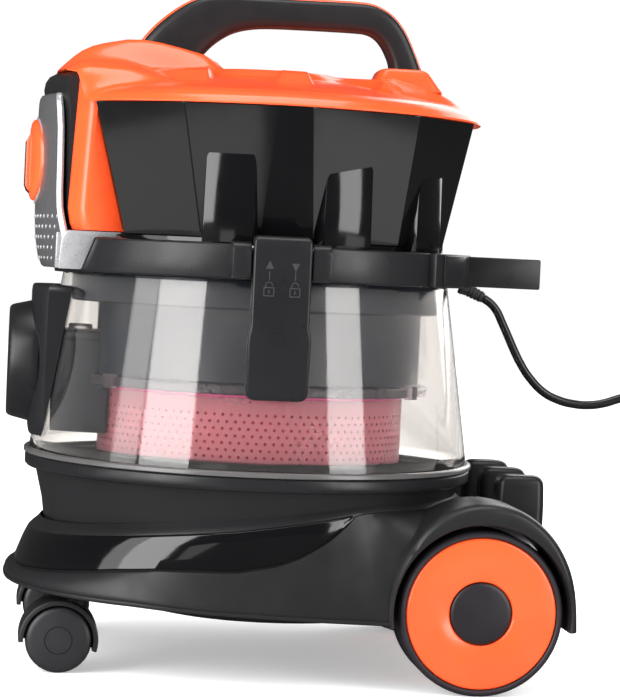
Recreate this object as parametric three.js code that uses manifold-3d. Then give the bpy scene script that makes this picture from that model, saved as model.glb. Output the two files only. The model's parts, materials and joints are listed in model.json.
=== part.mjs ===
// A drum carpet cleaner: a wheeled base, a clear dirty-water tank and a motor head that lifts off it.
// Millimetres, +Z up, +X to the rear. The machine's own group is built about the tank's axis.
import * as THREE from "three";
import { mergeVertices } from "three/addons/utils/BufferGeometryUtils.js";
import Module from "manifold-3d";

const wasm = await Module();
wasm.setup();

// ---------- driving dimensions ----------
const GAP = 0.3; // between two pieces that touch
const WALL = 3.5; // moulded shells
const SIDES = 32; // sides of the large round pieces
const SMALL_SIDES = 12; // sides of shafts, pins and bores
const PLAN_POINTS = 48; // points in the chassis outline
const FAR = 400; // beyond every piece

const TANK_AXIS_X = -21.5; // puts the middle of the machine's length at the origin
const HALF_WIDTH = 178; // chassis, from the middle to one side
const NOSE_X = -191; // chassis front
const TAIL_X = 237; // chassis rear

const WHEEL = { x: TAIL_X - 75, r: 62, width: 44, inner: HALF_WIDTH - 50, cap: 23, axle: 5 };
const RIM_R = WHEEL.r - 5.5; // the wheel's disc, inside its tyre
const WELL_CLEARANCE = 4; // between a tyre and its wheel well
const ARCH_WALL = 9;
const CASTER = { x: NOSE_X + 43, y: HALF_WIDTH - 83, r: 25, trail: 12, wheel: 17, web: 6, hood: 30, axle: 3, stem: 5.5 };
const CHASSIS_Z = 56; // lower edge of the chassis
const DECK = { low: 72, high: 80 }; // the chassis floor that carries the bowl
const COLLAR = { r: 169, z: 105, slope: 0.12, level: 75 }; // rising rim round the bowl

const BOWL = { rimR: 176, neckR: 170, lowR: 163, top: 157.7, footR: 120 };
const TANK = { baseZ: 158, flangeZ: 167, shoulderZ: 302, topZ: 318, flangeR: 180, lowR: 174, highR: 153 };
const RIM_Z = 318; // the height of the tank's top that the head's pieces are drawn for
const INLET = { low: 173, high: 290, half: 52, face: -176, bossFace: -194, bossR: 42, bore: 20, z: 231 };
const BAFFLE = { low: 178, high: 256, half: 45 };

const BAND = { low: 302, high: 328, r: 166, inner: 156 };
const SKIRT = { low: 332, high: 430, lowR: 150, highR: 173, facets: 12 };
const LIFT_CLEARANCE = 2.5; // between the hanging parts and the tank they lift out of
const BASKET = { low: 161, high: 222, r: 121, wall: 3 };
const HOUSING = { low: 224, flangeLow: 279, r: 133, lip: 137, flange: 146, notchX: -112, notchHalf: 50 };
const CONTROL = { half: 69.7, front: -172, rear: -120, top: 455, split: 332.6 };
const PANEL = { half: 66, face: -178, low: 304, high: 452, curve: 8 };
const KNOB = { z: 387, r: 32, thick: 5, fin: 6, shaft: 4 };
const TRIM = { half: 87, limb: 13, front: -162, back: -154.5, lean: -142, rise: 10 };
const CHEEK = { half: 86, low: 334, rear: -111, lean: 25 }; // the cover's sides, beside the panel
const LATCH = { half: 21.5, gripHalf: 24.5, pivotY: 176, pivotZ: 325, pin: 2, low: 215, high: 335 };
const HOOK = { y: 66, thick: 8, end: 217 };
const PEG = { x: TAIL_X - 29, pitch: 67, length: 38, thick: 25, low: 88, step: 144, top: 158 };
const HANDLE = { half: 15, core: 9, coreDepth: 5, foot: 466 };
const MOTOR = { r: 62, low: 336, high: 425, shaft: 4, fan: 48 };
const FLOAT = { r: 22, cage: 30 };
const CORD = { r: 3.5, sides: 8 };
const COIL = { x: 335.5, y: -110, inner: 28, outer: 56, low: 1.6, high: 43.6, tie: 1.2 };

// ---------- materials ----------
const finish = (color, roughness, metalness = 0, opacity = 1) =>
  new THREE.MeshStandardMaterial({ color, roughness, metalness, opacity, transparent: opacity < 1 });
const ORANGE = 0xff5a1f;
const SATIN = () => finish(0x2e2e31, 0.5);
const GLOSS = () => finish(0x101012, 0.15);
const ORANGE_PLASTIC = () => finish(ORANGE, 0.3);
const STEEL = () => finish(0xb4b6ba, 0.3, 1);
const CLEAR = () => finish(0xb9c2cc, 0.08, 0, 0.35);
const SILVER = () => finish(0xcfd0d4, 0.25, 0.8);
const RUBBER = () => finish(0x222225, 0.7);

// ---------- geometry helpers ----------

/** A closed three.js geometry as a manifold solid with its faces outwards. */
function solid(geometry) {
  const plain = geometry.clone();
  plain.deleteAttribute("normal");
  plain.deleteAttribute("uv");
  const merged = mergeVertices(plain, 1e-4);
  const corners = [];
  for (let i = 0; i < merged.index.count; i += 3) {
    const [a, b, c] = [0, 1, 2].map((k) => merged.index.getX(i + k));
    if (a !== b && b !== c && c !== a) corners.push(a, b, c);
  }
  const make = (order) =>
    new wasm.Manifold(
      new wasm.Mesh({
        numProp: 3,
        vertProperties: merged.attributes.position.array,
        triVerts: new Uint32Array(order),
      }),
    );
  const made = make(corners);
  return made.volume() > 0 ? made : make(corners.reverse());
}

/** A solid's surface as a three.js geometry. */
function surface(body) {
  const mesh = body.getMesh();
  const geometry = new THREE.BufferGeometry();
  geometry.setAttribute("position", new THREE.BufferAttribute(new Float32Array(mesh.vertProperties), 3));
  geometry.setIndex(new THREE.BufferAttribute(new Uint32Array(mesh.triVerts), 1));
  geometry.computeVertexNormals();
  return geometry;
}

/** All the given solids joined into one. */
const join = (first, ...rest) => rest.reduce((whole, next) => whole.add(next), first);

/** A solid with all the given ones cut out of it. */
const cut = (whole, ...tools) => tools.reduce((left, tool) => left.subtract(tool), whole);

function box(x0, x1, y0, y1, z0, z1) {
  const geometry = new THREE.BoxGeometry(x1 - x0, y1 - y0, z1 - z0);
  return solid(geometry.translate((x0 + x1) / 2, (y0 + y1) / 2, (z0 + z1) / 2));
}

/** A [radius, z] profile turned about Z. It starts and ends on the axis or closes on itself. */
function turned(profile, sides = SIDES) {
  const points = profile.map(([r, z]) => new THREE.Vector2(r, z));
  return solid(new THREE.LatheGeometry(points, sides).rotateX(Math.PI / 2));
}

const disc = (r, z0, z1, sides = SIDES) => turned([[0, z0], [r, z0], [r, z1], [0, z1]], sides);

const ring = (inner, outer, z0, z1, sides = SIDES) =>
  turned([[inner, z0], [outer, z0], [outer, z1], [inner, z1], [inner, z0]], sides);

/** A cylinder along X or Y between two coordinates of that axis; a and b are its other two, in order. */
function rod(axis, from, to, r, a, b, sides = SMALL_SIDES) {
  const body = disc(r, from, to, sides);
  return axis === "x"
    ? body.rotate([0, 90, 0]).translate([0, a, b])
    : body.rotate([-90, 0, 0]).translate([a, 0, b]);
}

const shapeOf = (points) => new THREE.Shape(points.map(([a, b]) => new THREE.Vector2(a, b)));

/** An outline in X and Z, as wide as y0 to y1. */
function sideSlab(points, y0, y1) {
  const geometry = new THREE.ExtrudeGeometry(shapeOf(points), { depth: y1 - y0, bevelEnabled: false });
  return solid(geometry.rotateX(Math.PI / 2).translate(0, y1, 0));
}

/** An outline in Y and Z, as wide as x0 to x1. */
function endSlab(points, x0, x1) {
  const geometry = new THREE.ExtrudeGeometry(shapeOf(points), { depth: x1 - x0, bevelEnabled: false });
  const turn = new THREE.Matrix4().makeBasis(
    new THREE.Vector3(0, 1, 0),
    new THREE.Vector3(0, 0, 1),
    new THREE.Vector3(1, 0, 0),
  );
  return solid(geometry.applyMatrix4(turn).translate(x0, 0, 0));
}

/** A skin over rings of [x, y, z] points that all have the same count, closed at both ends. */
function loft(rings) {
  const count = rings[0].length;
  const points = rings.flat();
  const faces = [];
  rings.slice(1).forEach((_, level) => {
    for (let i = 0; i < count; i++) {
      const a = level * count + i;
      const b = level * count + ((i + 1) % count);
      faces.push(a, b, b + count, a, b + count, a + count);
    }
  });
  const middle = (row) => [0, 1, 2].map((k) => row.reduce((sum, p) => sum + p[k], 0) / count);
  const last = (rings.length - 1) * count;
  points.push(middle(rings[0]), middle(rings.at(-1)));
  for (let i = 0; i < count; i++) {
    const next = (i + 1) % count;
    faces.push(points.length - 2, next, i, points.length - 1, last + i, last + next);
  }
  const geometry = new THREE.BufferGeometry();
  geometry.setAttribute("position", new THREE.Float32BufferAttribute(points.flat(), 3));
  geometry.setIndex(faces);
  return solid(geometry);
}

/** A round tube along [x, y, z] points. */
function tube(points, r, steps) {
  const path = new THREE.CatmullRomCurve3(points.map((p) => new THREE.Vector3(...p)), false, "centripetal");
  const section = Array.from({ length: CORD.sides }, (_, i) => {
    const turn = (i / CORD.sides) * 2 * Math.PI;
    return [r * Math.cos(turn), r * Math.sin(turn)];
  });
  return solid(new THREE.ExtrudeGeometry(shapeOf(section), { steps, extrudePath: path, bevelEnabled: false }));
}

const machine = new THREE.Group();
machine.position.x = TANK_AXIS_X;
const base = new THREE.Group();
const head = new THREE.Group();
head.position.z = TANK.topZ - RIM_Z;
machine.add(base, head);

function place(group, name, body, material) {
  const mesh = new THREE.Mesh(surface(body), material);
  mesh.name = name;
  group.add(mesh);
}

const SIDE_NAMES = [
  ["left", -1],
  ["right", 1],
];

// ---------- chassis ----------

/** The chassis outline in plan: a rounded nose in front and a soft rectangle behind. */
function planRing(inset, height) {
  return Array.from({ length: PLAN_POINTS }, (_, i) => {
    const turn = (i / PLAN_POINTS) * 2 * Math.PI;
    const [c, s] = [Math.cos(turn), Math.sin(turn)];
    const length = (c < 0 ? -NOSE_X : TAIL_X) - inset;
    const power = c < 0 ? 2.35 : 7;
    const sum = Math.abs(c / length) ** power + Math.abs(s / (HALF_WIDTH - inset)) ** power;
    const r = sum ** (-1 / power);
    return [r * c, r * s, height(r * c)];
  });
}

/** The rim round the bowl, which rises to the rear and then runs level. */
const collarHeight = (x) => COLLAR.z + COLLAR.slope * (Math.min(x, COLLAR.level) - NOSE_X - 23);

function collarRing() {
  return Array.from({ length: PLAN_POINTS }, (_, i) => {
    const turn = (i / PLAN_POINTS) * 2 * Math.PI;
    const x = COLLAR.r * Math.cos(turn);
    return [x, COLLAR.r * Math.sin(turn), collarHeight(x)];
  });
}

/** The bowl's outside, grown by a clearance. */
const bowlBody = (grow) =>
  turned([
    [0, DECK.high - grow],
    [BOWL.footR + grow, DECK.high - grow],
    [BOWL.lowR - 18 + grow, DECK.high + 8],
    [BOWL.lowR - 4 + grow, DECK.high + 20],
    [BOWL.lowR + grow, DECK.high + 41],
    [BOWL.neckR + grow, BOWL.top - 4],
    [BOWL.rimR + grow, BOWL.top - 3.5],
    [BOWL.rimR + grow, BOWL.top],
    [0, BOWL.top],
  ]);

/** A peg's footprint and height, grown by a clearance. */
const pegFoot = (y, grow) =>
  box(
    PEG.x - PEG.length / 2 - grow,
    PEG.x + PEG.length / 2 + grow,
    y - PEG.thick / 2 - grow,
    y + PEG.thick / 2 + grow,
    PEG.low - grow,
    PEG.step,
  );

const PEG_NAMES = [
  ["left", -PEG.pitch],
  ["middle", 0],
  ["right", PEG.pitch],
];

function chassisShell() {
  const gentle = (z) => (x) => z + 0.05 * (Math.min(x, 0) - NOSE_X);
  const outer = loft([
    planRing(2, () => CHASSIS_Z),
    planRing(0, () => CHASSIS_Z + 3),
    planRing(3, gentle(68)),
    planRing(10, gentle(72)),
    planRing(13, gentle(97)),
    collarRing(),
  ]);
  const archR = WHEEL.r + WELL_CLEARANCE + ARCH_WALL;
  const archInner = WHEEL.inner - 16;
  const arches = SIDE_NAMES.map(([, side]) => {
    const [from, to] = side < 0 ? [-HALF_WIDTH, -archInner] : [archInner, HALF_WIDTH];
    const round = rod("y", from, to, archR, WHEEL.x, WHEEL.r, SIDES);
    return cut(round, box(0, FAR, -FAR, FAR, -20, CHASSIS_Z - 6));
  });
  const wells = SIDE_NAMES.map(([, side]) => {
    const inner = WHEEL.inner - 7;
    const [from, to] = side < 0 ? [-HALF_WIDTH - 5, -inner] : [inner, HALF_WIDTH + 5];
    const round = rod("y", from, to, WHEEL.r + WELL_CLEARANCE, WHEEL.x, WHEEL.r, SIDES);
    const way = box(
      WHEEL.x - WHEEL.r - WELL_CLEARANCE,
      WHEEL.x + WHEEL.r + WELL_CLEARANCE,
      from,
      to,
      0,
      WHEEL.r,
    );
    return join(round, way);
  });
  const wellInner = WHEEL.inner - 7 - ARCH_WALL;
  const frontHollow = cut(
    loft([planRing(6, () => CHASSIS_Z - 10), planRing(14, () => DECK.low)]),
    box(WHEEL.x - WHEEL.r - WELL_CLEARANCE - ARCH_WALL, FAR, -FAR, FAR, 0, FAR),
  );
  const rearHollow = box(
    WHEEL.x - WHEEL.r - WELL_CLEARANCE - ARCH_WALL - 1,
    TAIL_X - 8,
    -wellInner,
    wellInner,
    CHASSIS_Z - 10,
    DECK.low,
  );
  const stems = SIDE_NAMES.map(([, side]) =>
    disc(CASTER.stem + GAP, 0, DECK.low + 12.5, SMALL_SIDES).translate([
      CASTER.x + CASTER.trail,
      side * CASTER.y,
      0,
    ]),
  );
  const pegs = PEG_NAMES.map(([, y]) => pegFoot(y, GAP));
  const axle = rod("y", -HALF_WIDTH, HALF_WIDTH, WHEEL.axle + GAP, WHEEL.x, WHEEL.r);
  return cut(join(outer, ...arches), bowlBody(GAP), ...wells, frontHollow, rearHollow, ...stems, ...pegs, axle);
}

function undersidePlate() {
  return turned([
    [0, 40],
    [100, 40],
    [118, 47],
    [118, CHASSIS_Z - 4],
    [60, CHASSIS_Z - 4],
    [60, DECK.low - GAP],
    [0, DECK.low - GAP],
  ]).translate([19, 0, 0]);
}

/** A rounded post that an accessory's socket slips over. */
function accessoryPeg(y) {
  const [x0, x1] = [PEG.x - PEG.length / 2, PEG.x + PEG.length / 2];
  const [half, slot] = [PEG.thick / 2 - 2, 2];
  const top = sideSlab(
    [
      [x0, PEG.step - 1],
      [x1 - 5, PEG.step - 1],
      [x1 - 6, PEG.top - 5],
      [x1 - 11, PEG.top],
      [x0 + 7, PEG.top],
      [x0 + 1, PEG.top - 5],
    ],
    y - half,
    y + half,
  );
  return cut(
    join(pegFoot(y, 0), top),
    box(PEG.x - 9, PEG.x + 7, y - slot, y + slot, PEG.top - 6, PEG.top + 1),
  );
}

place(base, "chassis_shell", chassisShell(), SATIN());
place(base, "underside_plate", undersidePlate(), SATIN());
PEG_NAMES.forEach(([name, y]) => place(base, `accessory_peg_${name}`, accessoryPeg(y), SATIN()));

// ---------- rear wheels ----------
// Each is turned about its own Z, which points away from the machine.

function tyre() {
  const [low, high] = [0, WHEEL.width];
  return turned([
    [RIM_R + GAP, low + 2],
    [WHEEL.r - 4, low],
    [WHEEL.r, low + 4],
    [WHEEL.r, high - 4],
    [WHEEL.r - 3, high],
    [RIM_R + GAP, high - 1],
    [RIM_R + GAP, low + 2],
  ]);
}

function wheelDisc() {
  const bore = WHEEL.axle + GAP;
  return turned([
    [bore, 3],
    [RIM_R, 3],
    [RIM_R, WHEEL.width - 1.5],
    [RIM_R - 6, WHEEL.width - 1],
    [WHEEL.cap + 1, WHEEL.width - 4],
    [WHEEL.cap + GAP, WHEEL.width - 8],
    [bore, WHEEL.width - 8],
    [bore, 3],
  ]);
}

const hubCap = () =>
  turned([
    [0, WHEEL.width - 8 + GAP],
    [WHEEL.cap - GAP, WHEEL.width - 8 + GAP],
    [WHEEL.cap - GAP, WHEEL.width - 3.5],
    [WHEEL.cap - 3, WHEEL.width - 2],
    [0, WHEEL.width - 1.5],
  ]);

place(
  base,
  "rear_axle",
  rod("y", -WHEEL.inner - 35.5, WHEEL.inner + 35.5, WHEEL.axle, WHEEL.x, WHEEL.r),
  STEEL(),
);
SIDE_NAMES.forEach(([name, side]) => {
  const wheel = new THREE.Group();
  wheel.position.set(WHEEL.x, side * WHEEL.inner, WHEEL.r);
  wheel.rotation.x = (-side * Math.PI) / 2;
  place(wheel, `tyre_${name}`, tyre(), RUBBER());
  place(wheel, `wheel_disc_${name}`, wheelDisc(), ORANGE_PLASTIC());
  place(wheel, `hub_cap_${name}`, hubCap(), SATIN());
  base.add(wheel);
});

// ---------- front casters ----------
// Built about the wheel's centre, with the swivel stem behind it.

function casterHood() {
  const [r, width] = [CASTER.hood, 2 * CASTER.wheel + CASTER.web];
  const socket = join(
    rod("y", -width / 2, width / 2, r, 0, 0, 28),
    disc(CASTER.stem + 4, 0, r, SMALL_SIDES).translate([CASTER.trail, 0, 0]),
  );
  const space = (side) => {
    const [from, to] = side < 0 ? [-width, -CASTER.web / 2] : [CASTER.web / 2, width];
    const way = box(-r - 1, r + 1, from, to, -r - 1, -CASTER.r * 0.28);
    return join(rod("y", from, to, CASTER.r + 1.2, 0, 0, 28), way);
  };
  return cut(
    socket,
    space(-1),
    space(1),
    box(-r - 1, r + 1, -width, width, -r - 1, -CASTER.r * 0.55),
    rod("y", -width, width, CASTER.axle + GAP, 0, 0),
    disc(CASTER.stem + GAP, r - 4 - GAP, r + 1, SMALL_SIDES).translate([CASTER.trail, 0, 0]),
  );
}

function casterWheel() {
  const [inner, outer] = [CASTER.web / 2 + 0.6, CASTER.web / 2 + CASTER.wheel];
  return turned(
    [
      [0, outer - 3],
      [CASTER.axle + GAP, outer - 3],
      [CASTER.axle + GAP, inner],
      [CASTER.r - 1, inner],
      [CASTER.r, inner + 1],
      [CASTER.r, outer - 3],
      [CASTER.r - 3, outer],
      [0, outer],
    ],
    28,
  );
}

const casterStem = () =>
  disc(CASTER.stem, CASTER.hood - 4, DECK.low + 12 - CASTER.r, SMALL_SIDES).translate([CASTER.trail, 0, 0]);

function casterAxle() {
  const reach = CASTER.web / 2 + CASTER.wheel - 3.6;
  return rod("y", -reach, reach, CASTER.axle, 0, 0);
}

SIDE_NAMES.forEach(([name, side]) => {
  const caster = new THREE.Group();
  caster.position.set(CASTER.x, side * CASTER.y, CASTER.r);
  place(caster, `caster_stem_${name}`, casterStem(), STEEL());
  place(caster, `caster_hood_${name}`, casterHood(), SATIN());
  place(caster, `caster_axle_${name}`, casterAxle(), STEEL());
  SIDE_NAMES.forEach(([half, turn]) => {
    const wheel = casterWheel().rotate([-turn * 90, 0, 0]);
    place(caster, `caster_wheel_${name}_${half}`, wheel, RUBBER());
  });
  base.add(caster);
});

// ---------- bowl, clear tank and inlet ----------

function lowerBowl() {
  const inside = turned([
    [0, DECK.high + WALL],
    [BOWL.footR - 2, DECK.high + WALL],
    [BOWL.lowR - 22, DECK.high + 13],
    [BOWL.lowR - WALL, DECK.high + 41],
    [BOWL.neckR - WALL, BOWL.top + 1],
    [0, BOWL.top + 1],
  ]);
  return cut(bowlBody(0), inside);
}

/** The outer radius of the clear tank at a height. */
function tankRadius(z) {
  const share = (z - TANK.flangeZ) / (TANK.shoulderZ - TANK.flangeZ);
  return TANK.lowR + (TANK.highR - TANK.lowR) * Math.min(share, 1);
}

/** The space inside the clear tank, or, grown outwards by its wall, the tank's outside. */
const tankBody = (grow, low, high) =>
  turned([
    [0, low],
    [tankRadius(TANK.flangeZ) - WALL + grow, low],
    [tankRadius(TANK.flangeZ) - WALL + grow, TANK.flangeZ],
    [tankRadius(TANK.shoulderZ) - WALL + grow, TANK.shoulderZ],
    [tankRadius(TANK.shoulderZ) - WALL + grow, high],
    [0, high],
  ]);

const inletBore = (r, from, to) => rod("x", from, to, r, 0, INLET.z, 28);

function clearTank() {
  const flange = disc(TANK.flangeR, TANK.baseZ, TANK.flangeZ);
  const shell = join(flange, tankBody(WALL, TANK.baseZ, TANK.topZ));
  return cut(
    shell,
    tankBody(0, TANK.baseZ - 1, TANK.topZ + 1),
    inletBore(INLET.bore + WALL + GAP, -TANK.flangeR, -100),
  );
}

/** The black housing on the tank's front that the hose plugs into. */
function inletFlange() {
  const outline = [
    [INLET.face, INLET.low + 6],
    [INLET.face + 5, INLET.low],
    [-150, INLET.low],
    [-140, INLET.high],
    [INLET.face + 8, INLET.high],
    [INLET.face, INLET.high - 12],
  ];
  const block = sideSlab(outline, -INLET.half, INLET.half);
  const neck = inletBore(INLET.bore + WALL, -170, -146);
  const outside = cut(block, tankBody(WALL + GAP, TANK.baseZ - 1, TANK.topZ));
  return cut(
    join(outside, neck),
    inletBore(INLET.bore, -200, -100),
    disc(TANK.flangeR + GAP, TANK.baseZ - 1, TANK.flangeZ + GAP),
  );
}

function inletSocket() {
  const [back, front] = [INLET.face - GAP, INLET.bossFace];
  return solid(
    new THREE.LatheGeometry(
      [
        [INLET.bore, 0],
        [INLET.bossR, 0],
        [INLET.bossR - 1, 8],
        [INLET.bossR - 8, back - front],
        [INLET.bore + 6, back - front],
        [INLET.bore, back - front - 4],
        [INLET.bore, 0],
      ].map(([r, z]) => new THREE.Vector2(r, z)),
      28,
    )
      .rotateZ(Math.PI / 2)
      .translate(back, 0, INLET.z),
  );
}

/** The box inside the tank that turns the incoming water down. */
function inletBaffle() {
  const [low, high, half] = [BAFFLE.low, BAFFLE.high, BAFFLE.half];
  const block = box(-180, HOUSING.notchX - LIFT_CLEARANCE, -half, half, low, high);
  const hollow = box(-180, -129, -half + WALL, half - WALL, low - 1, high - WALL);
  const inside = tankBody(-GAP, TANK.baseZ, TANK.topZ);
  const around = disc(BASKET.r + LIFT_CLEARANCE, low - 1, high + 1);
  return cut(block.intersect(inside), around, hollow, inletBore(INLET.bore + WALL + GAP, -180, -140));
}

place(base, "lower_bowl", lowerBowl(), SATIN());
place(base, "clear_tank", clearTank(), CLEAR());
place(base, "inlet_flange", inletFlange(), SATIN());
place(base, "inlet_socket", inletSocket(), SATIN());
place(base, "inlet_baffle", inletBaffle(), finish(0x20242c, 0.4));

// ---------- clamp band, latches and cord hooks ----------

/** The band and the silver trim meet on this slanted line. */
const trimEdge = (z) => TRIM.lean + ((z - BAND.low) / (BAND.high - BAND.low)) * TRIM.rise;

function clampBand() {
  const frontCut = sideSlab(
    [
      [-200, BAND.low - 2],
      [trimEdge(BAND.low - 2) + GAP, BAND.low - 2],
      [trimEdge(BAND.high + 2) + GAP, BAND.high + 2],
      [-200, BAND.high + 2],
    ],
    -200,
    200,
  );
  const ears = SIDE_NAMES.flatMap(([, side]) =>
    SIDE_NAMES.map(([, end]) => {
      const [near, far] = [LATCH.half + 1, LATCH.half + 15];
      const [y0, y1] = [BAND.r - 8, LATCH.pivotY + 6];
      return box(
        end < 0 ? -far : near,
        end < 0 ? -near : far,
        side < 0 ? -y1 : y0,
        side < 0 ? -y0 : y1,
        BAND.low + 1,
        LATCH.pivotZ + 5,
      );
    }),
  );
  const pins = SIDE_NAMES.map(([, side]) => latchPin(side, GAP));
  return cut(join(ring(BAND.inner, BAND.r, BAND.low, BAND.high), ...ears), frontCut, ...pins);
}

function latchPin(side, grow) {
  const reach = LATCH.half + 10 + grow;
  return rod("x", -reach, reach, LATCH.pin + grow, side * LATCH.pivotY, LATCH.pivotZ);
}

/** The lever: a flat face hinged at the band, a bent grip below, and a nose under the tank's rim. */
function latch(side) {
  const [inner, outer] = [LATCH.pivotY - 5, LATCH.pivotY + 9];
  const upper = endSlab(
    [
      [inner + 1, LATCH.pivotZ - 5],
      [inner + 3, LATCH.high - 3],
      [outer - 4, LATCH.high],
      [outer, LATCH.high - 4],
      [outer, LATCH.low + 55],
      [inner + 3, LATCH.low + 55],
      [inner + 3, LATCH.low + 74],
      [inner - 9, LATCH.low + 76],
      [inner - 9, LATCH.low + 80],
      [inner + 1, LATCH.low + 84],
    ],
    -LATCH.half,
    LATCH.half,
  );
  const grip = endSlab(
    [
      [outer, LATCH.low + 60],
      [outer + 2, LATCH.low + 50],
      [outer + 2, LATCH.low + 4],
      [outer - 2, LATCH.low],
      [outer - 8, LATCH.low],
      [outer - 9, LATCH.low + 56],
    ],
    -LATCH.gripHalf,
    LATCH.gripHalf,
  );
  const facing = join(upper, grip);
  const placed = side < 0 ? facing.mirror([0, 1, 0]) : facing;
  return cut(placed, latchPin(side, GAP));
}

/** A bracket on the band whose arm the mains lead is wound over. */
function cordHook(side) {
  const [y0, y1] = side < 0 ? [-HOOK.y, -HOOK.y + HOOK.thick] : [HOOK.y - HOOK.thick, HOOK.y];
  const arm = box(140, HOOK.end, y0, y1, BAND.low + 1.5, BAND.high - 1);
  const sector = sideSlab([[125, BAND.low], [200, BAND.low], [200, BAND.high], [125, BAND.high]], y0 - 50, y1 + 50);
  const half = side < 0 ? box(0, 300, -300, y1, 0, 400) : box(0, 300, y0, 300, 0, 400);
  const foot = ring(BAND.r + GAP, BAND.r + 7, BAND.low, BAND.high).intersect(sector).intersect(half);
  return cut(join(arm, foot), disc(BAND.r + GAP, 0, 400));
}

place(head, "clamp_band", clampBand(), SATIN());
SIDE_NAMES.forEach(([name, side]) => {
  place(head, `latch_${name}`, latch(side), SATIN());
  place(head, `latch_pin_${name}`, latchPin(side, 0), STEEL());
  place(head, `cord_hook_${name}`, cordHook(side), SATIN());
});

// ---------- motor head ----------

/** The deck that closes the head from below; the fan's casing stands on it and carries the motor. */
function motorDeck() {
  const plate = turned([
    [MOTOR.shaft + 3, RIM_Z + 3],
    [BAND.inner - GAP, RIM_Z + 3],
    [BAND.inner - GAP, BAND.high],
    [SKIRT.lowR - 4, BAND.high],
    [SKIRT.lowR - 4, SKIRT.low - GAP],
    [SKIRT.lowR - 12, SKIRT.low - GAP],
    [SKIRT.lowR - 12, BAND.high],
    [MOTOR.r + 6, BAND.high],
    [MOTOR.r + 6, MOTOR.low + 20 - GAP],
    [MOTOR.shaft + 6, MOTOR.low + 20 - GAP],
    [MOTOR.shaft + 6, MOTOR.low + 16],
    [MOTOR.r - 4, MOTOR.low + 16],
    [MOTOR.r - 4, BAND.high],
    [MOTOR.shaft + 3, BAND.high],
    [MOTOR.shaft + 3, RIM_Z + 3],
  ]);
  return cut(plate, box(-200, -112, -TRIM.half - 1, TRIM.half + 1, 300, 340));
}

const headSeal = () => ring(TANK.highR - 8, TANK.highR, RIM_Z + GAP, RIM_Z + 3 - GAP);

/** The control housing's cheeks and the skirt meet on this slanted line. */
const cheekRear = (z) => CHEEK.rear - ((z - CHEEK.low) / (SKIRT.high - CHEEK.low)) * CHEEK.lean;

function frontOpening(grow) {
  return sideSlab(
    [
      [-220, SKIRT.low - 5],
      [cheekRear(SKIRT.low - 5) + grow, SKIRT.low - 5],
      [cheekRear(SKIRT.high + 6) + grow, SKIRT.high + 6],
      [-220, SKIRT.high + 6],
    ],
    -CHEEK.half - grow,
    CHEEK.half + grow,
  );
}

function headSkirt() {
  const { low, high, lowR, highR, facets } = SKIRT;
  const shell = turned(
    [
      [lowR - WALL, low],
      [lowR, low],
      [highR, high],
      [highR - WALL, high],
      [lowR - WALL, low],
    ],
    facets,
  );
  return cut(shell.rotate([0, 0, 180 / facets]), frontOpening(GAP));
}

/** The fairing in front of the handle, swept across the machine and falling away to both sides. */
function frontFairing() {
  const sections = [
    [-CHEEK.half, -27, 0.25],
    [-72, -16, 0.5],
    [-50, -7, 0.8],
    [-24, 0, 1],
    [24, 0, 1],
    [50, -7, 0.8],
    [72, -16, 0.5],
    [CHEEK.half, -27, 0.25],
  ];
  return loft(
    sections.map(([y, drop, rise]) => {
      const z = (height) => 440 + (height - 440) * rise + drop * 0.35;
      return [
        [-164, y, 445 + (z(457) - 445) * 0.9],
        [-149, y, z(469)],
        [-126, y, z(481)],
        [-99, y, z(485)],
        [-51, y, z(477)],
        [-30, y, 440],
        [-164, y, 438],
      ];
    }),
  );
}

function topCover() {
  const { high, highR } = SKIRT;
  const dome = (down) =>
    turned([
      [0, high + GAP - (down ? 1 : 0)],
      [highR + 1 - down, high + GAP - (down ? 1 : 0)],
      [highR + 1 - down, high + 5],
      [highR - 7 - down, high + 11 - down],
      [120, high + 21 - down],
      [60, high + 33 - down],
      [0, high + 35 - down],
    ]);
  const cheeks = SIDE_NAMES.map(([, side]) => {
    const outline = [
      [-165, 446],
      [-154, 396],
      [-154, 341],
      [-150, 333],
      [cheekRear(CHEEK.low), CHEEK.low + 1],
      [cheekRear(high + 4), high + 4],
      [-128, 450],
    ];
    const [y0, y1] = side < 0 ? [-CHEEK.half, -CONTROL.half - GAP] : [CONTROL.half + GAP, CHEEK.half];
    return sideSlab(outline, y0, y1);
  });
  const rearFoot = sideSlab([[84, 445], [92, 472], [126, 470], [140, 445]], -24, 24);
  const controlSpace = box(-220, CONTROL.rear + GAP, -CONTROL.half - GAP, CONTROL.half + GAP, 300, CONTROL.top + GAP);
  const motorSpace = box(-118, -55, -40, 40, 430, 465);
  return cut(
    join(dome(0), frontFairing(), ...cheeks, rearFoot),
    dome(WALL),
    controlSpace,
    motorSpace,
    handleBody(HANDLE.half + GAP, 2 * GAP),
  );
}

/** An outline in X and Z, swept from side to side, its part in front of an X bent back like the panel. */
function bentSlab(points, half, behind) {
  const steps = 12;
  const rings = Array.from({ length: steps + 1 }, (_, i) => {
    const y = half * ((2 * i) / steps - 1);
    const bend = PANEL.curve * (Math.abs(y) / PANEL.half) ** 2.5;
    return points.map(([x, z]) => [x < behind ? x + bend : x, y, z]);
  });
  return loft(rings);
}

function controlHousing() {
  const { half, front, rear, top, split } = CONTROL;
  const upper = bentSlab(
    [
      [front, split],
      [rear, split],
      [rear, top - 12],
      [-160, top],
      [-168, top],
      [front - 2, top - 14],
    ],
    half,
    rear,
  );
  const lowRear = TRIM.front - GAP;
  const lower = bentSlab(
    [
      [front, PANEL.low],
      [lowRear, PANEL.low],
      [lowRear, split + 1],
      [front, split + 1],
    ],
    half,
    lowRear,
  );
  const inside = front + WALL + PANEL.curve + 2;
  const space = box(inside, rear + 1, -half + WALL, half - WALL, split + WALL, top - 20);
  const shaft = rod("x", -200, -100, KNOB.shaft + GAP, 0, KNOB.z);
  return cut(join(upper, lower), space, shaft);
}

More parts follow.
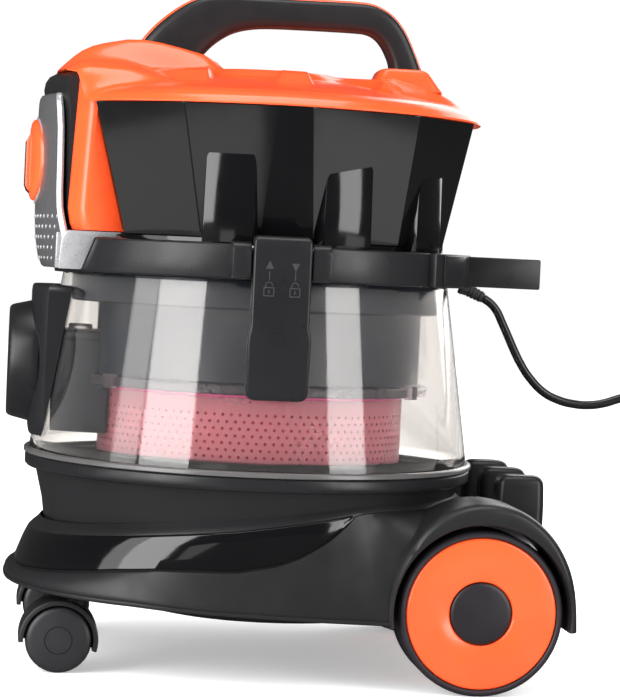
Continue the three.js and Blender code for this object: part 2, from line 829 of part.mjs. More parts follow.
/** The curved control panel, whose sides sweep back to the cheeks. */
function frontPanel() {
  const { face, half, low, high } = PANEL;
  const back = CONTROL.front - GAP;
  const plate = bentSlab(
    [
      [back, low],
      [face + 4, low],
      [face, low + 34],
      [face, high - 24],
      [back - 2 - GAP, high - 12],
      [back - GAP - 2, high - 14],
      [back, low + 40],
    ],
    half,
    CONTROL.rear,
  );
  return cut(plate, rod("x", -200, -100, KNOB.shaft + GAP, 0, KNOB.z));
}

/** The silver bracket that frames the panel's foot and reaches back under each cheek. */
function panelTrim() {
  const { half, limb, front, back } = TRIM;
  const outline = [
    [front, BAND.low + 1.5],
    [trimEdge(BAND.low + 1.5), BAND.low + 1.5],
    [trimEdge(BAND.high + GAP), BAND.high + GAP],
    [-113, BAND.high + GAP],
    [-113, SKIRT.low - 1],
    [front, SKIRT.low - 1],
  ];
  const inside = box(back, 0, -half + limb, half - limb, 290, 340);
  return cut(sideSlab(outline, -half, half), inside, disc(TANK.highR + 1, 290, RIM_Z + 2));
}

function knob() {
  const back = PANEL.face - GAP;
  const plate = rod("x", back - KNOB.thick, back, KNOB.r, 0, KNOB.z, 32);
  const fin = sideSlab(
    [
      [back - KNOB.thick + 1, KNOB.z - KNOB.r + 6],
      [back - KNOB.thick - KNOB.fin, KNOB.z - KNOB.r + 13],
      [back - KNOB.thick - KNOB.fin, KNOB.z + KNOB.r - 18],
      [back - KNOB.thick + 1, KNOB.z + KNOB.r - 6],
    ],
    -7,
    7,
  );
  const socket = rod("x", back - 3, back + 1, KNOB.shaft + GAP, 0, KNOB.z);
  return cut(join(plate, fin), socket);
}

const knobShaft = () => rod("x", PANEL.face - 2.5, CONTROL.front + 25, KNOB.shaft, 0, KNOB.z);

place(head, "motor_deck", motorDeck(), SATIN());
place(head, "head_seal", headSeal(), RUBBER());
place(head, "head_skirt", headSkirt(), GLOSS());
place(head, "top_cover", topCover(), ORANGE_PLASTIC());
place(head, "control_housing", controlHousing(), SATIN());
place(head, "front_panel", frontPanel(), finish(0x77777b, 0.35, 0.4));
place(head, "panel_trim", panelTrim(), SILVER());
place(head, "power_knob", knob(), ORANGE_PLASTIC());
place(head, "knob_shaft", knobShaft(), STEEL());

// ---------- carrying handle ----------

/** The second of two points, carried on along their line until it is lower by sink. */
function lowered([x0, z0], [x1, z1], sink) {
  return [x1 - ((x1 - x0) / (z1 - z0)) * sink, z1 - sink];
}

/** The handle's outer edge from the front foot to the rear one, its feet sunk further by sink. */
function handleOuter(sink) {
  return [
    lowered([-98, 486], [-106, HANDLE.foot], sink),
    [-98, 486],
    [-87, 498],
    [-57, 520],
    [-40, 523],
    [20, 524],
    [80, 524],
    [100, 515],
    [114, 496],
    lowered([114, 496], [127, HANDLE.foot], sink),
  ];
}

/** The inner edge, from the rear foot back to the front one. */
function handleInner(sink) {
  return [
    lowered([100, 478], [101, HANDLE.foot], sink),
    [100, 478],
    [93, 492],
    [81, 501],
    [20, 501],
    [-15, 499],
    [-35, 491],
    [-50, 477],
    lowered([-50, 477], [-58, HANDLE.foot], sink),
  ];
}

/** Points moved outwards from the handle's middle, so that the outline grows by about that much. */
function moved(points, distance) {
  return points.map(([x, z], i) => {
    const [before, after] = [points[Math.max(i - 1, 0)], points[Math.min(i + 1, points.length - 1)]];
    const [dx, dz] = [after[0] - before[0], after[1] - before[1]];
    const length = Math.hypot(dx, dz);
    return [x - (dz / length) * distance, z + (dx / length) * distance];
  });
}

function handleBody(half, grow) {
  return sideSlab([...moved(handleOuter(3 * grow), grow), ...moved(handleInner(3 * grow), grow)], -half, half);
}

/** The orange strip along the handle's outer edge, or, grown, the groove that holds it. */
function handleStrip(half, grow) {
  const edge = handleOuter(0);
  const outer = moved(edge, grow ? 2 : 0);
  const inner = moved(edge, -HANDLE.coreDepth - grow).reverse();
  return cut(sideSlab([...outer, ...inner], -half, half), box(-300, 300, -50, 50, 400, HANDLE.foot - grow));
}

place(head, "handle_strip", handleStrip(HANDLE.core, 0), ORANGE_PLASTIC());
place(head, "handle_grip", cut(handleBody(HANDLE.half, 0), handleStrip(HANDLE.core + GAP, GAP)), SATIN());

// ---------- motor, fan and separator ----------

const motorBody = () =>
  turned([
    [MOTOR.shaft + 1, MOTOR.low + 20],
    [MOTOR.r, MOTOR.low + 20],
    [MOTOR.r, MOTOR.high - 20],
    [MOTOR.r - 25, MOTOR.high],
    [MOTOR.shaft + 1, MOTOR.high],
    [MOTOR.shaft + 1, MOTOR.low + 20],
  ]);

const motorShaft = () => disc(MOTOR.shaft, BAND.high + 3, MOTOR.high + 3, SMALL_SIDES);

function impeller() {
  const hub = ring(MOTOR.shaft + GAP, MOTOR.shaft + 8, MOTOR.low, MOTOR.low + 12, SMALL_SIDES);
  const plate = ring(MOTOR.shaft + GAP, MOTOR.fan, MOTOR.low, MOTOR.low + 3, 24);
  const vanes = Array.from({ length: 8 }, (_, i) =>
    box(MOTOR.shaft + 4, MOTOR.fan - 2, -1, 1, MOTOR.low + 2, MOTOR.low + 12).rotate([0, 0, i * 45]),
  );
  return join(hub, plate, ...vanes);
}

/** The stepped drum that hangs inside the tank and carries the filter. */
function separatorHousing() {
  const { low, flangeLow, r, lip, flange, notchX, notchHalf } = HOUSING;
  const top = RIM_Z + 3 - GAP;
  const drum = turned([
    [BASKET.r + 2, low - 8],
    [lip, low - 8],
    [lip, low],
    [r, low],
    [r, flangeLow],
    [flange, flangeLow],
    [flange, BAND.low],
    [TANK.highR - 12, BAND.low],
    [TANK.highR - 12, top],
    [12, top],
    [12, top - WALL],
    [TANK.highR - 12 - WALL, top - WALL],
    [TANK.highR - 12 - WALL, flangeLow + WALL],
    [r - WALL, flangeLow + WALL],
    [r - WALL, low + WALL],
    [BASKET.r + 2, low + WALL],
    [BASKET.r + 2, low - 8],
  ]);
  const notch = box(-200, notchX, -notchHalf, notchHalf, 0, flangeLow);
  const backWall = box(notchX + GAP, notchX + WALL, -notchHalf - 2, notchHalf + 2, low, flangeLow + 1);
  return cut(join(cut(drum, notch), backWall), notch);
}

function filterBasket() {
  const { low, high, r, wall } = BASKET;
  const cup = turned([
    [0, low],
    [r - 2, low],
    [r, low + 2],
    [r, high],
    [r - wall, high],
    [r - wall, low + wall],
    [0, low + wall],
  ]);
  return cut(cup, box(-200, HOUSING.notchX - GAP, -HOUSING.notchHalf, HOUSING.notchHalf, HOUSING.low - 8, 300));
}

/** The pleated filter stands in the basket, round the float's cage. */
function filterCartridge() {
  const pleats = 32;
  const outline = Array.from({ length: 2 * pleats }, (_, i) => {
    const turn = (i / (2 * pleats)) * 2 * Math.PI;
    const r = BASKET.r - (i % 2 ? 17 : 25);
    return [r * Math.cos(turn), r * Math.sin(turn)];
  });
  const low = BASKET.low + BASKET.wall + GAP;
  const geometry = new THREE.ExtrudeGeometry(shapeOf(outline), { depth: 40, bevelEnabled: false });
  return cut(solid(geometry.translate(0, 0, low)), disc(BASKET.r - 51, low - 1, low + 50));
}

function filterRing() {
  const low = BASKET.low + BASKET.wall + 40 + 2 * GAP;
  return ring(BASKET.r - 55, BASKET.r - 13, low, low + 7);
}

/** The cage hangs from the housing's roof and keeps the float under the fan's inlet. */
function floatCage() {
  const [low, top] = [BASKET.low + BASKET.wall + 6, RIM_Z + 3 - WALL - 2 * GAP];
  const tubeWall = ring(FLOAT.cage - 3, FLOAT.cage, low, top, 20);
  const floor = disc(FLOAT.cage - 1, low, low + 3, 20);
  const windows = [0, 90].map((turn) =>
    box(-50, 50, -14, 14, low + 12, low + 60).rotate([0, 0, turn]),
  );
  return cut(join(tubeWall, floor), ...windows);
}

const floatBall = () => {
  const low = BASKET.low + BASKET.wall + 9 + GAP;
  return turned(
    [
      [0, low],
      [FLOAT.r - 6, low],
      [FLOAT.r, low + 8],
      [FLOAT.r, low + 24],
      [FLOAT.r - 6, low + 32],
      [0, low + 34],
    ],
    20,
  );
};

place(head, "motor_body", motorBody(), STEEL());
place(head, "motor_shaft", motorShaft(), STEEL());
place(head, "impeller", impeller(), finish(0xa8aaae, 0.4, 0.9));
place(head, "separator_housing", separatorHousing(), finish(0x2b313a, 0.45));
place(head, "filter_basket", filterBasket(), CLEAR());
place(head, "filter_cartridge", filterCartridge(), finish(0xe8505f, 0.8));
place(head, "filter_ring", filterRing(), finish(0xc2407f, 0.5));
place(head, "float_cage", floatCage(), finish(0x8d8f96, 0.5));
place(head, "float_ball", floatBall(), finish(0xe6e2da, 0.5));

// ---------- mains lead ----------
// The lead is free, so its points are places in the machine's outer frame.

const lead = new THREE.Group();

/** The tapered strain relief, from the band's rear down along the lead. */
function strainRelief() {
  const rise = head.position.z;
  const [start, end] = [new THREE.Vector3(145.4, 0, 303 + rise), new THREE.Vector3(163.9, 0, 294.4 + rise)];
  const along = end.clone().sub(start);
  const profile = [
    [0, 0],
    [6, 0],
    [6, 3],
    [5.2, 4],
    [4.3, along.length()],
    [0, along.length()],
  ];
  const points = profile.map(([r, z]) => new THREE.Vector2(r, z));
  const turn = new THREE.Quaternion().setFromUnitVectors(new THREE.Vector3(0, 1, 0), along.normalize());
  return solid(new THREE.LatheGeometry(points, 12).applyQuaternion(turn).translate(start.x, 0, start.z));
}

/** The stretch from the strain relief to the coil. */
const leadRoute = [
  [164.5, 0, 294.05],
  [170.7, 0, 290],
  [175.9, 0, 284.1],
  [180.6, 0, 275.2],
  [186, 0, 264.5],
  [191.7, 0, 253],
  [198.5, 0, 241],
  [206, 0, 231],
  [218, 0, 220],
  [230.5, 0, 214.2],
  [243, 0, 211.5],
  [255.5, 0, 211],
  [268.5, 0, 213],
  [280.5, 0, 217],
  [292, -1, 220],
  [303, -3, 219],
  [313, -6, 211],
  [320, -10, 197],
  [325, -14, 176],
  [329, -17, 150],
  [333, -19, 120],
  [337, -21, 90],
  [341, -24, 62],
  [347, -29, 37],
  [356, -37, 18],
  [367, -48, 7.5],
  [378, -60, 4.2],
  [385.5, -72, 3.9],
  [387.8, -81.5, 3.9],
];

/** The end of the lead, which leaves the coil's top turn and runs into the plug. */
const tailRoute = [
  [376.5, -102, 47.4],
  [378, -113, 47.6],
  [377.5, -124, 49.5],
  [373.5, -135, 53.5],
  [365.5, -144, 58],
  [356, -148.5, 60.6],
  [350.5, -149.7, 61],
];

/** The lead's points for the height the head really stands at: full rise at the top, none on the floor. */
function raised(points) {
  const [floor, exit] = [points.at(-1)[2], points[0][2]];
  return points.map(([x, y, z]) => [x, y, z + (head.position.z * Math.max(z - floor, 0)) / (exit - floor)]);
}

function leadCoil() {
  const { inner, outer, low, high } = COIL;
  return ring(inner, outer, low, high, 40).translate([COIL.x, COIL.y, 0]);
}

/** A strap round the coil's turns at the rear. */
function leadTie() {
  const { inner, outer, low, high, tie, x, y } = COIL;
  const outside = box(inner - tie - GAP, outer + tie + GAP, -7, 7, low - tie - GAP, high + tie + GAP);
  const inside = ring(inner - GAP, outer + GAP, low - GAP, high + GAP, 40);
  return cut(outside, inside).rotate([0, 0, 155]).translate([x, y, 0]);
}

/** A round two-pin plug lying on the coil, its pins forward. */
function leadPlug() {
  const body = new THREE.LatheGeometry(
    [
      [0, 0],
      [4.5, 0],
      [6.5, 16],
      [15, 26],
      [17, 34],
      [17, 42],
      [0, 42],
    ].map(([r, z]) => new THREE.Vector2(r, z)),
    20,
  ).rotateX(Math.PI / 2);
  const pins = [-9.5, 9.5].map((across) => disc(2.4, 41, 61, 12).translate([across, 0, 0]));
  return join(solid(body), ...pins)
    .rotate([0, 90, 0])
    .rotate([0, 0, 192])
    .translate([350.1, -149.8, 61]);
}

place(lead, "strain_relief", strainRelief(), RUBBER());
place(lead, "mains_lead", tube(raised(leadRoute), CORD.r, 36), RUBBER());
place(lead, "lead_coil", leadCoil(), RUBBER());
place(lead, "lead_tail", tube(tailRoute, CORD.r, 6), RUBBER());
place(lead, "lead_tie", leadTie(), SATIN());
place(lead, "lead_plug", leadPlug(), RUBBER());

const carpetCleaner = new THREE.Group();
carpetCleaner.add(machine, lead);

export default carpetCleaner;
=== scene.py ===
"""A drum carpet cleaner: wheeled base, clear tank and lift-off motor head.

Shapes are written in millimetres about the tank's axis, and `to_frame` moves them into
the frame's metres. The mains lead alone is written in the frame's metres.
"""
import json
import math

import bmesh
import bpy
from mathutils import Matrix, Vector


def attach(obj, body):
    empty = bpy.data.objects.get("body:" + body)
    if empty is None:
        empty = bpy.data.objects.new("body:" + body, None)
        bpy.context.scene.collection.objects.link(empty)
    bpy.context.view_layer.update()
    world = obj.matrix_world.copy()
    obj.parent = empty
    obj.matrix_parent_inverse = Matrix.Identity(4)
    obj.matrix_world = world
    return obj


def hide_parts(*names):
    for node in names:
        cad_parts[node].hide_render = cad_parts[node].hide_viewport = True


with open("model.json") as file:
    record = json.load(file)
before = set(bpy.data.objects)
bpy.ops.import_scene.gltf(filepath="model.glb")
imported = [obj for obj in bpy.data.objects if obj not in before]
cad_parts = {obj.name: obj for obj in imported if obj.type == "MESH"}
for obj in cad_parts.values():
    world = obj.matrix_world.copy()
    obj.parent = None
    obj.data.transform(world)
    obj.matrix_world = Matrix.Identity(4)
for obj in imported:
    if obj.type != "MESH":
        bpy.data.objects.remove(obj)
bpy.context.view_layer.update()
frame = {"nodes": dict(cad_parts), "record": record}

MM = 0.001
AXIS_X = -21.5  # the tank's axis in the frame
TAU = 2 * math.pi
SIDES = ((-1, "left"), (1, "right"))


def to_frame(x, y, z):
    return Vector(((x + AXIS_X) * MM, y * MM, z * MM))


# ---------- camera ----------

CAMERA_DISTANCE = 1.95
CAMERA_HEIGHT = 0.321
CAMERA_AZIMUTH = math.radians(-6.0)
CAMERA_ASIDE = math.radians(1.352)  # aims to the right of the tank's axis
CAMERA_DOWN = math.radians(2.186)
CAMERA_ROLL = math.radians(2.7)
CAMERA_LENS = 125.33


def make_camera():
    """The camera stands before the left side and is held slightly turned."""
    data = bpy.data.cameras.new("camera")
    data.lens = CAMERA_LENS
    data.sensor_width = 36
    data.clip_start = 0.05
    camera = bpy.data.objects.new("camera", data)
    bpy.context.scene.collection.objects.link(camera)
    bpy.context.scene.camera = camera
    place = Vector(
        (
            AXIS_X * MM + CAMERA_DISTANCE * math.sin(CAMERA_AZIMUTH),
            -CAMERA_DISTANCE * math.cos(CAMERA_AZIMUTH),
            CAMERA_HEIGHT,
        )
    )
    heading = -CAMERA_AZIMUTH + CAMERA_ASIDE
    ahead = Vector(
        (
            math.sin(heading) * math.cos(CAMERA_DOWN),
            math.cos(heading) * math.cos(CAMERA_DOWN),
            -math.sin(CAMERA_DOWN),
        )
    )
    right = ahead.cross(Vector((0, 0, 1))).normalized()
    up = right.cross(ahead)
    turned_right = right * math.cos(CAMERA_ROLL) + up * math.sin(CAMERA_ROLL)
    turned_up = up * math.cos(CAMERA_ROLL) - right * math.sin(CAMERA_ROLL)
    turn = Matrix((turned_right, turned_up, -ahead)).transposed()
    camera.matrix_world = Matrix.Translation(place) @ turn.to_4x4()


make_camera()

# ---------- node material helpers ----------


def new_material(name):
    material = bpy.data.materials.new(name)
    material.use_nodes = True
    tree = material.node_tree
    return material, tree, tree.nodes["Principled BSDF"]


def noise(tree, scale, detail=2.0, roughness=0.5):
    """Noise over the frame's own coordinates, in cycles per metre."""
    coordinates = tree.nodes.new("ShaderNodeTexCoord")
    texture = tree.nodes.new("ShaderNodeTexNoise")
    texture.inputs["Scale"].default_value = scale
    texture.inputs["Detail"].default_value = detail
    texture.inputs["Roughness"].default_value = roughness
    tree.links.new(coordinates.outputs["Object"], texture.inputs["Vector"])
    return texture.outputs["Fac"]


def remap(tree, value, low, high, start=0.3, end=0.7):
    """A value's middle range stretched to low..high."""
    node = tree.nodes.new("ShaderNodeMapRange")
    node.inputs["From Min"].default_value = start
    node.inputs["From Max"].default_value = end
    node.inputs["To Min"].default_value = low
    node.inputs["To Max"].default_value = high
    tree.links.new(value, node.inputs["Value"])
    return node.outputs["Result"]


def mixed(tree, factor, first, second):
    """A colour between two others."""
    node = tree.nodes.new("ShaderNodeMix")
    node.data_type = "RGBA"
    tree.links.new(factor, node.inputs["Factor"])
    for socket, colour in ((node.inputs[6], first), (node.inputs[7], second)):
        if isinstance(colour, bpy.types.NodeSocket):
            tree.links.new(colour, socket)
        else:
            socket.default_value = (*colour, 1)
    return node.outputs[2]


def bump(tree, shader, height, strength, distance):
    node = tree.nodes.new("ShaderNodeBump")
    node.inputs["Strength"].default_value = strength
    node.inputs["Distance"].default_value = distance
    tree.links.new(height, node.inputs["Height"])
    tree.links.new(node.outputs["Normal"], shader.inputs["Normal"])


def edge_mask(tree, low=0.51, high=0.62):
    """One on worn convex edges and zero on open faces."""
    geometry = tree.nodes.new("ShaderNodeNewGeometry")
    return remap(tree, geometry.outputs["Pointiness"], 0, 1, low, high)


def moulded(
    name, colour, roughness, grain=1400, depth=0.1, spread=0.05, wear=0.3, specular=0.5, coat=0.0
):
    """Moulded plastic or rubber: fine grain, slow shade and polish changes, and paler worn edges."""
    material, tree, shader = new_material(name)
    slow = noise(tree, 14, 3)
    dark = tuple(c * 0.82 for c in colour)
    pale = tuple(min(1, c * 1.4 + 0.006) for c in colour)
    base = mixed(tree, remap(tree, slow, 0, 1), colour, dark)
    worn = tree.nodes.new("ShaderNodeMath")
    worn.operation = "MULTIPLY"
    worn.inputs[1].default_value = wear
    tree.links.new(edge_mask(tree), worn.inputs[0])
    tree.links.new(mixed(tree, worn.outputs[0], base, pale), shader.inputs["Base Color"])
    tree.links.new(
        remap(tree, noise(tree, 60, 4), roughness - spread, roughness + spread),
        shader.inputs["Roughness"]
    )
    shader.inputs["Specular IOR Level"].default_value = specular
    shader.inputs["Coat Weight"].default_value = coat
    shader.inputs["Coat Roughness"].default_value = 0.06
    bump(tree, shader, noise(tree, grain, 3, 0.6), depth, 0.0004)
    return material


def metal(name, colour, roughness, grain=900, metallic=0.85):
    """Metal, or metallic paint, with fine flecks."""
    material, tree, shader = new_material(name)
    fleck = noise(tree, grain, 2)
    dark = tuple(c * 0.8 for c in colour)
    tree.links.new(mixed(tree, remap(tree, fleck, 0, 1), dark, colour), shader.inputs["Base Color"])
    shader.inputs["Metallic"].default_value = metallic
    tree.links.new(
        remap(tree, noise(tree, 90, 3), roughness - 0.06, roughness + 0.06), shader.inputs["Roughness"]
    )
    bump(tree, shader, fleck, 0.06, 0.0003)
    return material


def see_through(name, colour, roughness, ior, ripple, haze=0.0):
    """Clear moulded plastic that lets light straight through to what it holds."""
    material, tree, shader = new_material(name)
    shader.inputs["IOR"].default_value = ior
    shader.inputs["Base Color"].default_value = (*colour, 1)
    shader.inputs["Transmission Weight"].default_value = 1 - haze
    tree.links.new(
        remap(tree, noise(tree, 40, 3), roughness * 0.6, roughness * 1.4), shader.inputs["Roughness"]
    )
    bump(tree, shader, noise(tree, 25, 2), ripple, 0.0005)
    return material


satin = moulded("satin_black", (0.0125, 0.0125, 0.0135), 0.37, grain=1800, depth=0.12, specular=0.32)
satin_smooth = moulded(
    "satin_black_smooth", (0.011, 0.011, 0.0122), 0.31, grain=2500, depth=0.04, specular=0.32
)
gloss = moulded(
    "gloss_black", (0.003, 0.003, 0.0035), 0.09, grain=300, depth=0.01, spread=0.02, wear=0.1
)
orange = moulded(
    "orange_plastic", (0.97, 0.088, 0.018), 0.24, grain=900, depth=0.02, spread=0.03, wear=0.06,
    coat=0.15
)
hub = moulded("hub_plastic", (0.012, 0.01, 0.013), 0.45, grain=1500, depth=0.08)
tyre_rubber = moulded("tyre_rubber", (0.016, 0.013, 0.018), 0.5, grain=1100, depth=0.2)
caster_rubber = moulded("caster_plastic", (0.016, 0.016, 0.018), 0.42, grain=1300, depth=0.08)
inner_dark = moulded("inner_dark", (0.014, 0.019, 0.031), 0.36, grain=900, depth=0.02, specular=0.35)
seal_rubber = moulded("seal_rubber", (0.02, 0.02, 0.022), 0.6, depth=0.2)
pale_plastic = moulded("pale_plastic", (0.55, 0.53, 0.5), 0.4, depth=0.04)
magenta = moulded("magenta_plastic", (0.7, 0.06, 0.25), 0.35, depth=0.04)
sheath = moulded("cable_sheath", (0.008, 0.008, 0.009), 0.28, grain=700, depth=0.015, wear=0.1)
mark = moulded("marking", (0.03, 0.03, 0.032), 0.35, depth=0.02)
silver = metal("silver_trim", (0.46, 0.46, 0.475), 0.3, metallic=0.5)
panel_grey = metal("panel_grey", (0.13, 0.13, 0.135), 0.34, grain=1600, metallic=0.45)
steel = metal("steel", (0.6, 0.6, 0.62), 0.28)
clear = see_through("clear_plastic", (0.93, 0.9, 0.872), 0.04, 1.5, 0.01)
frosted = see_through("frosted_plastic", (0.97, 0.88, 0.92), 0.3, 1.3, 0.05)
smoky = moulded("smoky_plastic", (0.075, 0.072, 0.072), 0.22, grain=900, depth=0.02)
cloudy = see_through("cloudy_plastic", (1.0, 0.42, 0.52), 0.4, 1.35, 0.03, haze=0.34)


def filter_material():
    """Coral filter cloth in slow patches of tone, with a darker fibre grain."""
    material, tree, shader = new_material("filter_cloth")
    weave = noise(tree, 700, 5, 0.7)
    patches = remap(tree, noise(tree, 9, 2), 0, 1, 0.35, 0.62)
    tone = mixed(tree, patches, (0.95, 0.12, 0.16), (1.0, 0.27, 0.3))
    tree.links.new(
        mixed(tree, remap(tree, weave, 0, 0.35), tone, (0.75, 0.06, 0.12)), shader.inputs["Base Color"]
    )
    shader.inputs["Roughness"].default_value = 0.85
    shader.inputs["Sheen Weight"].default_value = 0.3
    bump(tree, shader, weave, 0.5, 0.0008)
    return material


coral = filter_material()

# ---------- mesh helpers ----------


def merged(*parts):
    """Several (points, faces) pairs as one."""
    points, faces = [], []
    for more, those in parts:
        faces += [tuple(i + len(points) for i in face) for face in those]
        points += more
    return points, faces


def mirrored(part):
    """The same shape on the machine's other side."""
    points, faces = part
    return [(x, -y, z) for x, y, z in points], [tuple(reversed(face)) for face in faces]


def on_side(part, side):
    return part if side < 0 else mirrored(part)


def loft(rings, closed=True, caps=True):
    """A skin over rings of points that all have the same count."""
    count = len(rings[0])
    points = [p for ring in rings for p in ring]
    faces = []
    for level in range(len(rings) - 1):
        for i in range(count if closed else count - 1):
            a = level * count + i
            b = level * count + (i + 1) % count
            faces.append((a, b, b + count, a + count))
    if caps:
        last = (len(rings) - 1) * count
        faces.append(tuple(reversed(range(count))))
        faces.append(tuple(range(last, last + count)))
    return points, faces


def lathe(profile, segments=96, start=0.0, sweep=TAU):
    """A closed or axis-to-axis [radius, z] profile turned about the tank's axis."""
    whole = abs(sweep - TAU) < 1e-6
    steps = segments if whole else segments + 1
    rings = []
    for i in range(steps):
        turn = start + sweep * i / segments
        rings.append([(r * math.cos(turn), r * math.sin(turn), z) for r, z in profile])
    if whole:
        rings.append(rings[0])
    return loft(rings, closed=profile[0][0] > 0, caps=not whole)


def prism(outline, low, high, plane="xz"):
    """An outline in two axes, as wide along the third as low to high."""
    spread = {
        "xz": lambda a, b, c: (a, c, b),
        "yz": lambda a, b, c: (c, a, b),
        "xy": lambda a, b, c: (a, b, c),
    }[plane]
    return loft([[spread(a, b, c) for a, b in outline] for c in (low, high)])


def block(x0, x1, y0, y1, z0, z1):
    return prism([(x0, z0), (x1, z0), (x1, z1), (x0, z1)], y0, y1)


def arc(centre, radius, start, end, steps):
    """Points of a circle's arc, with its angles in degrees."""
    a, b = centre
    turns = [math.radians(start + (end - start) * i / steps) for i in range(steps + 1)]
    return [(a + radius * math.cos(t), b + radius * math.sin(t)) for t in turns]


def rounded(a0, a1, b0, b1, radius, steps=5):
    """A rectangle's outline with round corners."""
    corners = (
        ((a1 - radius, b0 + radius), -90),
        ((a1 - radius, b1 - radius), 0),
        ((a0 + radius, b1 - radius), 90),
        ((a0 + radius, b0 + radius), 180),
    )
    return [p for centre, turn in corners for p in arc(centre, radius, turn, turn + 90, steps)]


def smooth(outline, steps=4, closed=False):
    """A Catmull-Rom curve through an outline's points."""
    count = len(outline)
    pick = (lambda i: outline[i % count]) if closed else (lambda i: outline[min(max(i, 0), count - 1)])
    curve = []
    for i in range(count if closed else count - 1):
        p0, p1, p2, p3 = (Vector(pick(i + k)) for k in (-1, 0, 1, 2))
        for step in range(steps):
            t = step / steps
            point = (2 * p1 + (p2 - p0) * t + (2 * p0 - 5 * p1 + 4 * p2 - p3) * t * t) / 2
            curve.append(tuple(point + (3 * p1 - p0 - 3 * p2 + p3) * (t**3 / 2)))
    return curve if closed else curve + [tuple(outline[-1])]


def between(table, x):
    """Straight-line look-up in a list of (x, value) pairs."""
    if x <= table[0][0]:
        return table[0][1]
    for (x0, v0), (x1, v1) in zip(table, table[1:]):
        if x <= x1:
            return v0 + (v1 - v0) * (x - x0) / (x1 - x0)
    return table[-1][1]


def ease(value, low, high):
    """A smooth step from 0 at low to 1 at high."""
    t = min(max((value - low) / (high - low), 0), 1)
    return t * t * (3 - 2 * t)


def new_object(name, part):
    points, faces = part
    mesh = bpy.data.meshes.new(name)
    mesh.from_pydata([to_frame(*p) for p in points], [], faces)
    tidy = bmesh.new()
    tidy.from_mesh(mesh)
    bmesh.ops.remove_doubles(tidy, verts=tidy.verts, dist=0.00002)
    bmesh.ops.dissolve_degenerate(tidy, edges=tidy.edges, dist=0.00001)
    bmesh.ops.recalc_face_normals(tidy, faces=tidy.faces)
    tidy.to_mesh(mesh)
    tidy.free()
    made = bpy.data.objects.new(name, mesh)
    bpy.context.scene.collection.objects.link(made)
    return made


def apply_modifiers(made):
    bpy.context.view_layer.update()
    graph = bpy.context.evaluated_depsgraph_get()
    mesh = bpy.data.meshes.new_from_object(made.evaluated_get(graph))
    made.modifiers.clear()
    made.data = mesh


def carve(made, parts, operation="DIFFERENCE"):
    """Cuts solids out of a piece, or joins them to it, one at a time."""
    for part in parts:
        tool = new_object("tool", part)
        modifier = made.modifiers.new("carve", "BOOLEAN")
        modifier.operation = operation
        modifier.solver = "EXACT"
        modifier.object = tool
        apply_modifiers(made)
        bpy.data.objects.remove(tool)


def shade(made, sharp):
    """Smooth shading, broken at edges sharper than that many degrees."""
    mesh = made.data
    mesh.polygons.foreach_set("use_smooth", [True] * len(mesh.polygons))
    work = bmesh.new()
    work.from_mesh(mesh)
    for edge in work.edges:
        edge.smooth = len(edge.link_faces) == 2 and edge.calc_face_angle(0) < math.radians(sharp)
    work.to_mesh(mesh)
    work.free()


def finish(made, material, body, replaced=(), bevel=0.0, sharp=32):
    """Rounds a piece's edges, gives it its material and hangs it on its body."""
    if bevel:
        modifier = made.modifiers.new("bevel", "BEVEL")
        modifier.width = bevel * MM
        modifier.segments = 2
        modifier.limit_method = "ANGLE"
        modifier.angle_limit = math.radians(sharp)
        modifier.miter_outer = "MITER_ARC"
        modifier.use_clamp_overlap = True
        apply_modifiers(made)
    shade(made, sharp)
    made.data.materials.clear()
    made.data.materials.append(material)
    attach(made, body)
    if replaced:
        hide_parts(*replaced)
    return made


def piece(name, part, material, body, replaced=(), bevel=0.0, sharp=32):
    return finish(new_object(name, part), material, body, replaced, bevel, sharp)

# ---------- mains lead ----------
# The lead's points are places in the frame, in metres.

LEAD_DIAMETER = 0.007

LEAD_ROUTE = [
    (0.1645, 0.0, 0.29405),
    (0.1707, 0.0, 0.29),
    (0.1759, 0.0, 0.2841),
    (0.1806, 0.0, 0.2752),
    (0.186, 0.0, 0.2645),
    (0.1917, 0.0, 0.253),
    (0.1985, 0.0, 0.241),
    (0.206, 0.0, 0.231),
    (0.218, 0.0, 0.22),
    (0.2305, 0.0, 0.2142),
    (0.243, 0.0, 0.2115),
    (0.2555, 0.0, 0.211),
    (0.2685, 0.0, 0.213),
    (0.2805, 0.0, 0.217),
    (0.292, -0.001, 0.22),
    (0.303, -0.003, 0.219),
    (0.313, -0.006, 0.211),
    (0.32, -0.01, 0.197),
    (0.325, -0.014, 0.176),
    (0.329, -0.017, 0.15),
    (0.333, -0.019, 0.12),
    (0.337, -0.021, 0.09),
    (0.341, -0.024, 0.062),
    (0.347, -0.029, 0.037),
    (0.356, -0.037, 0.018),
    (0.367, -0.048, 0.0075),
    (0.378, -0.06, 0.0042),
    (0.3855, -0.072, 0.0039),
    (0.3878, -0.0815, 0.0039),
]

TAIL_ROUTE = [
    (0.3765, -0.102, 0.0474),
    (0.378, -0.113, 0.0476),
    (0.3775, -0.124, 0.0495),
    (0.3735, -0.135, 0.0535),
    (0.3655, -0.144, 0.058),
    (0.356, -0.1485, 0.0606),
    (0.3505, -0.1497, 0.061),
]

COIL = {
    "x": 0.3355, "y": -0.11, "inner": 0.0315, "outer": 0.0525, "first": 0.0051, "layers": 6, "turns": 3
}
COIL_STEPS = 16  # points in each turn
CLIMB_STEPS = 2  # points in each step up to the next layer


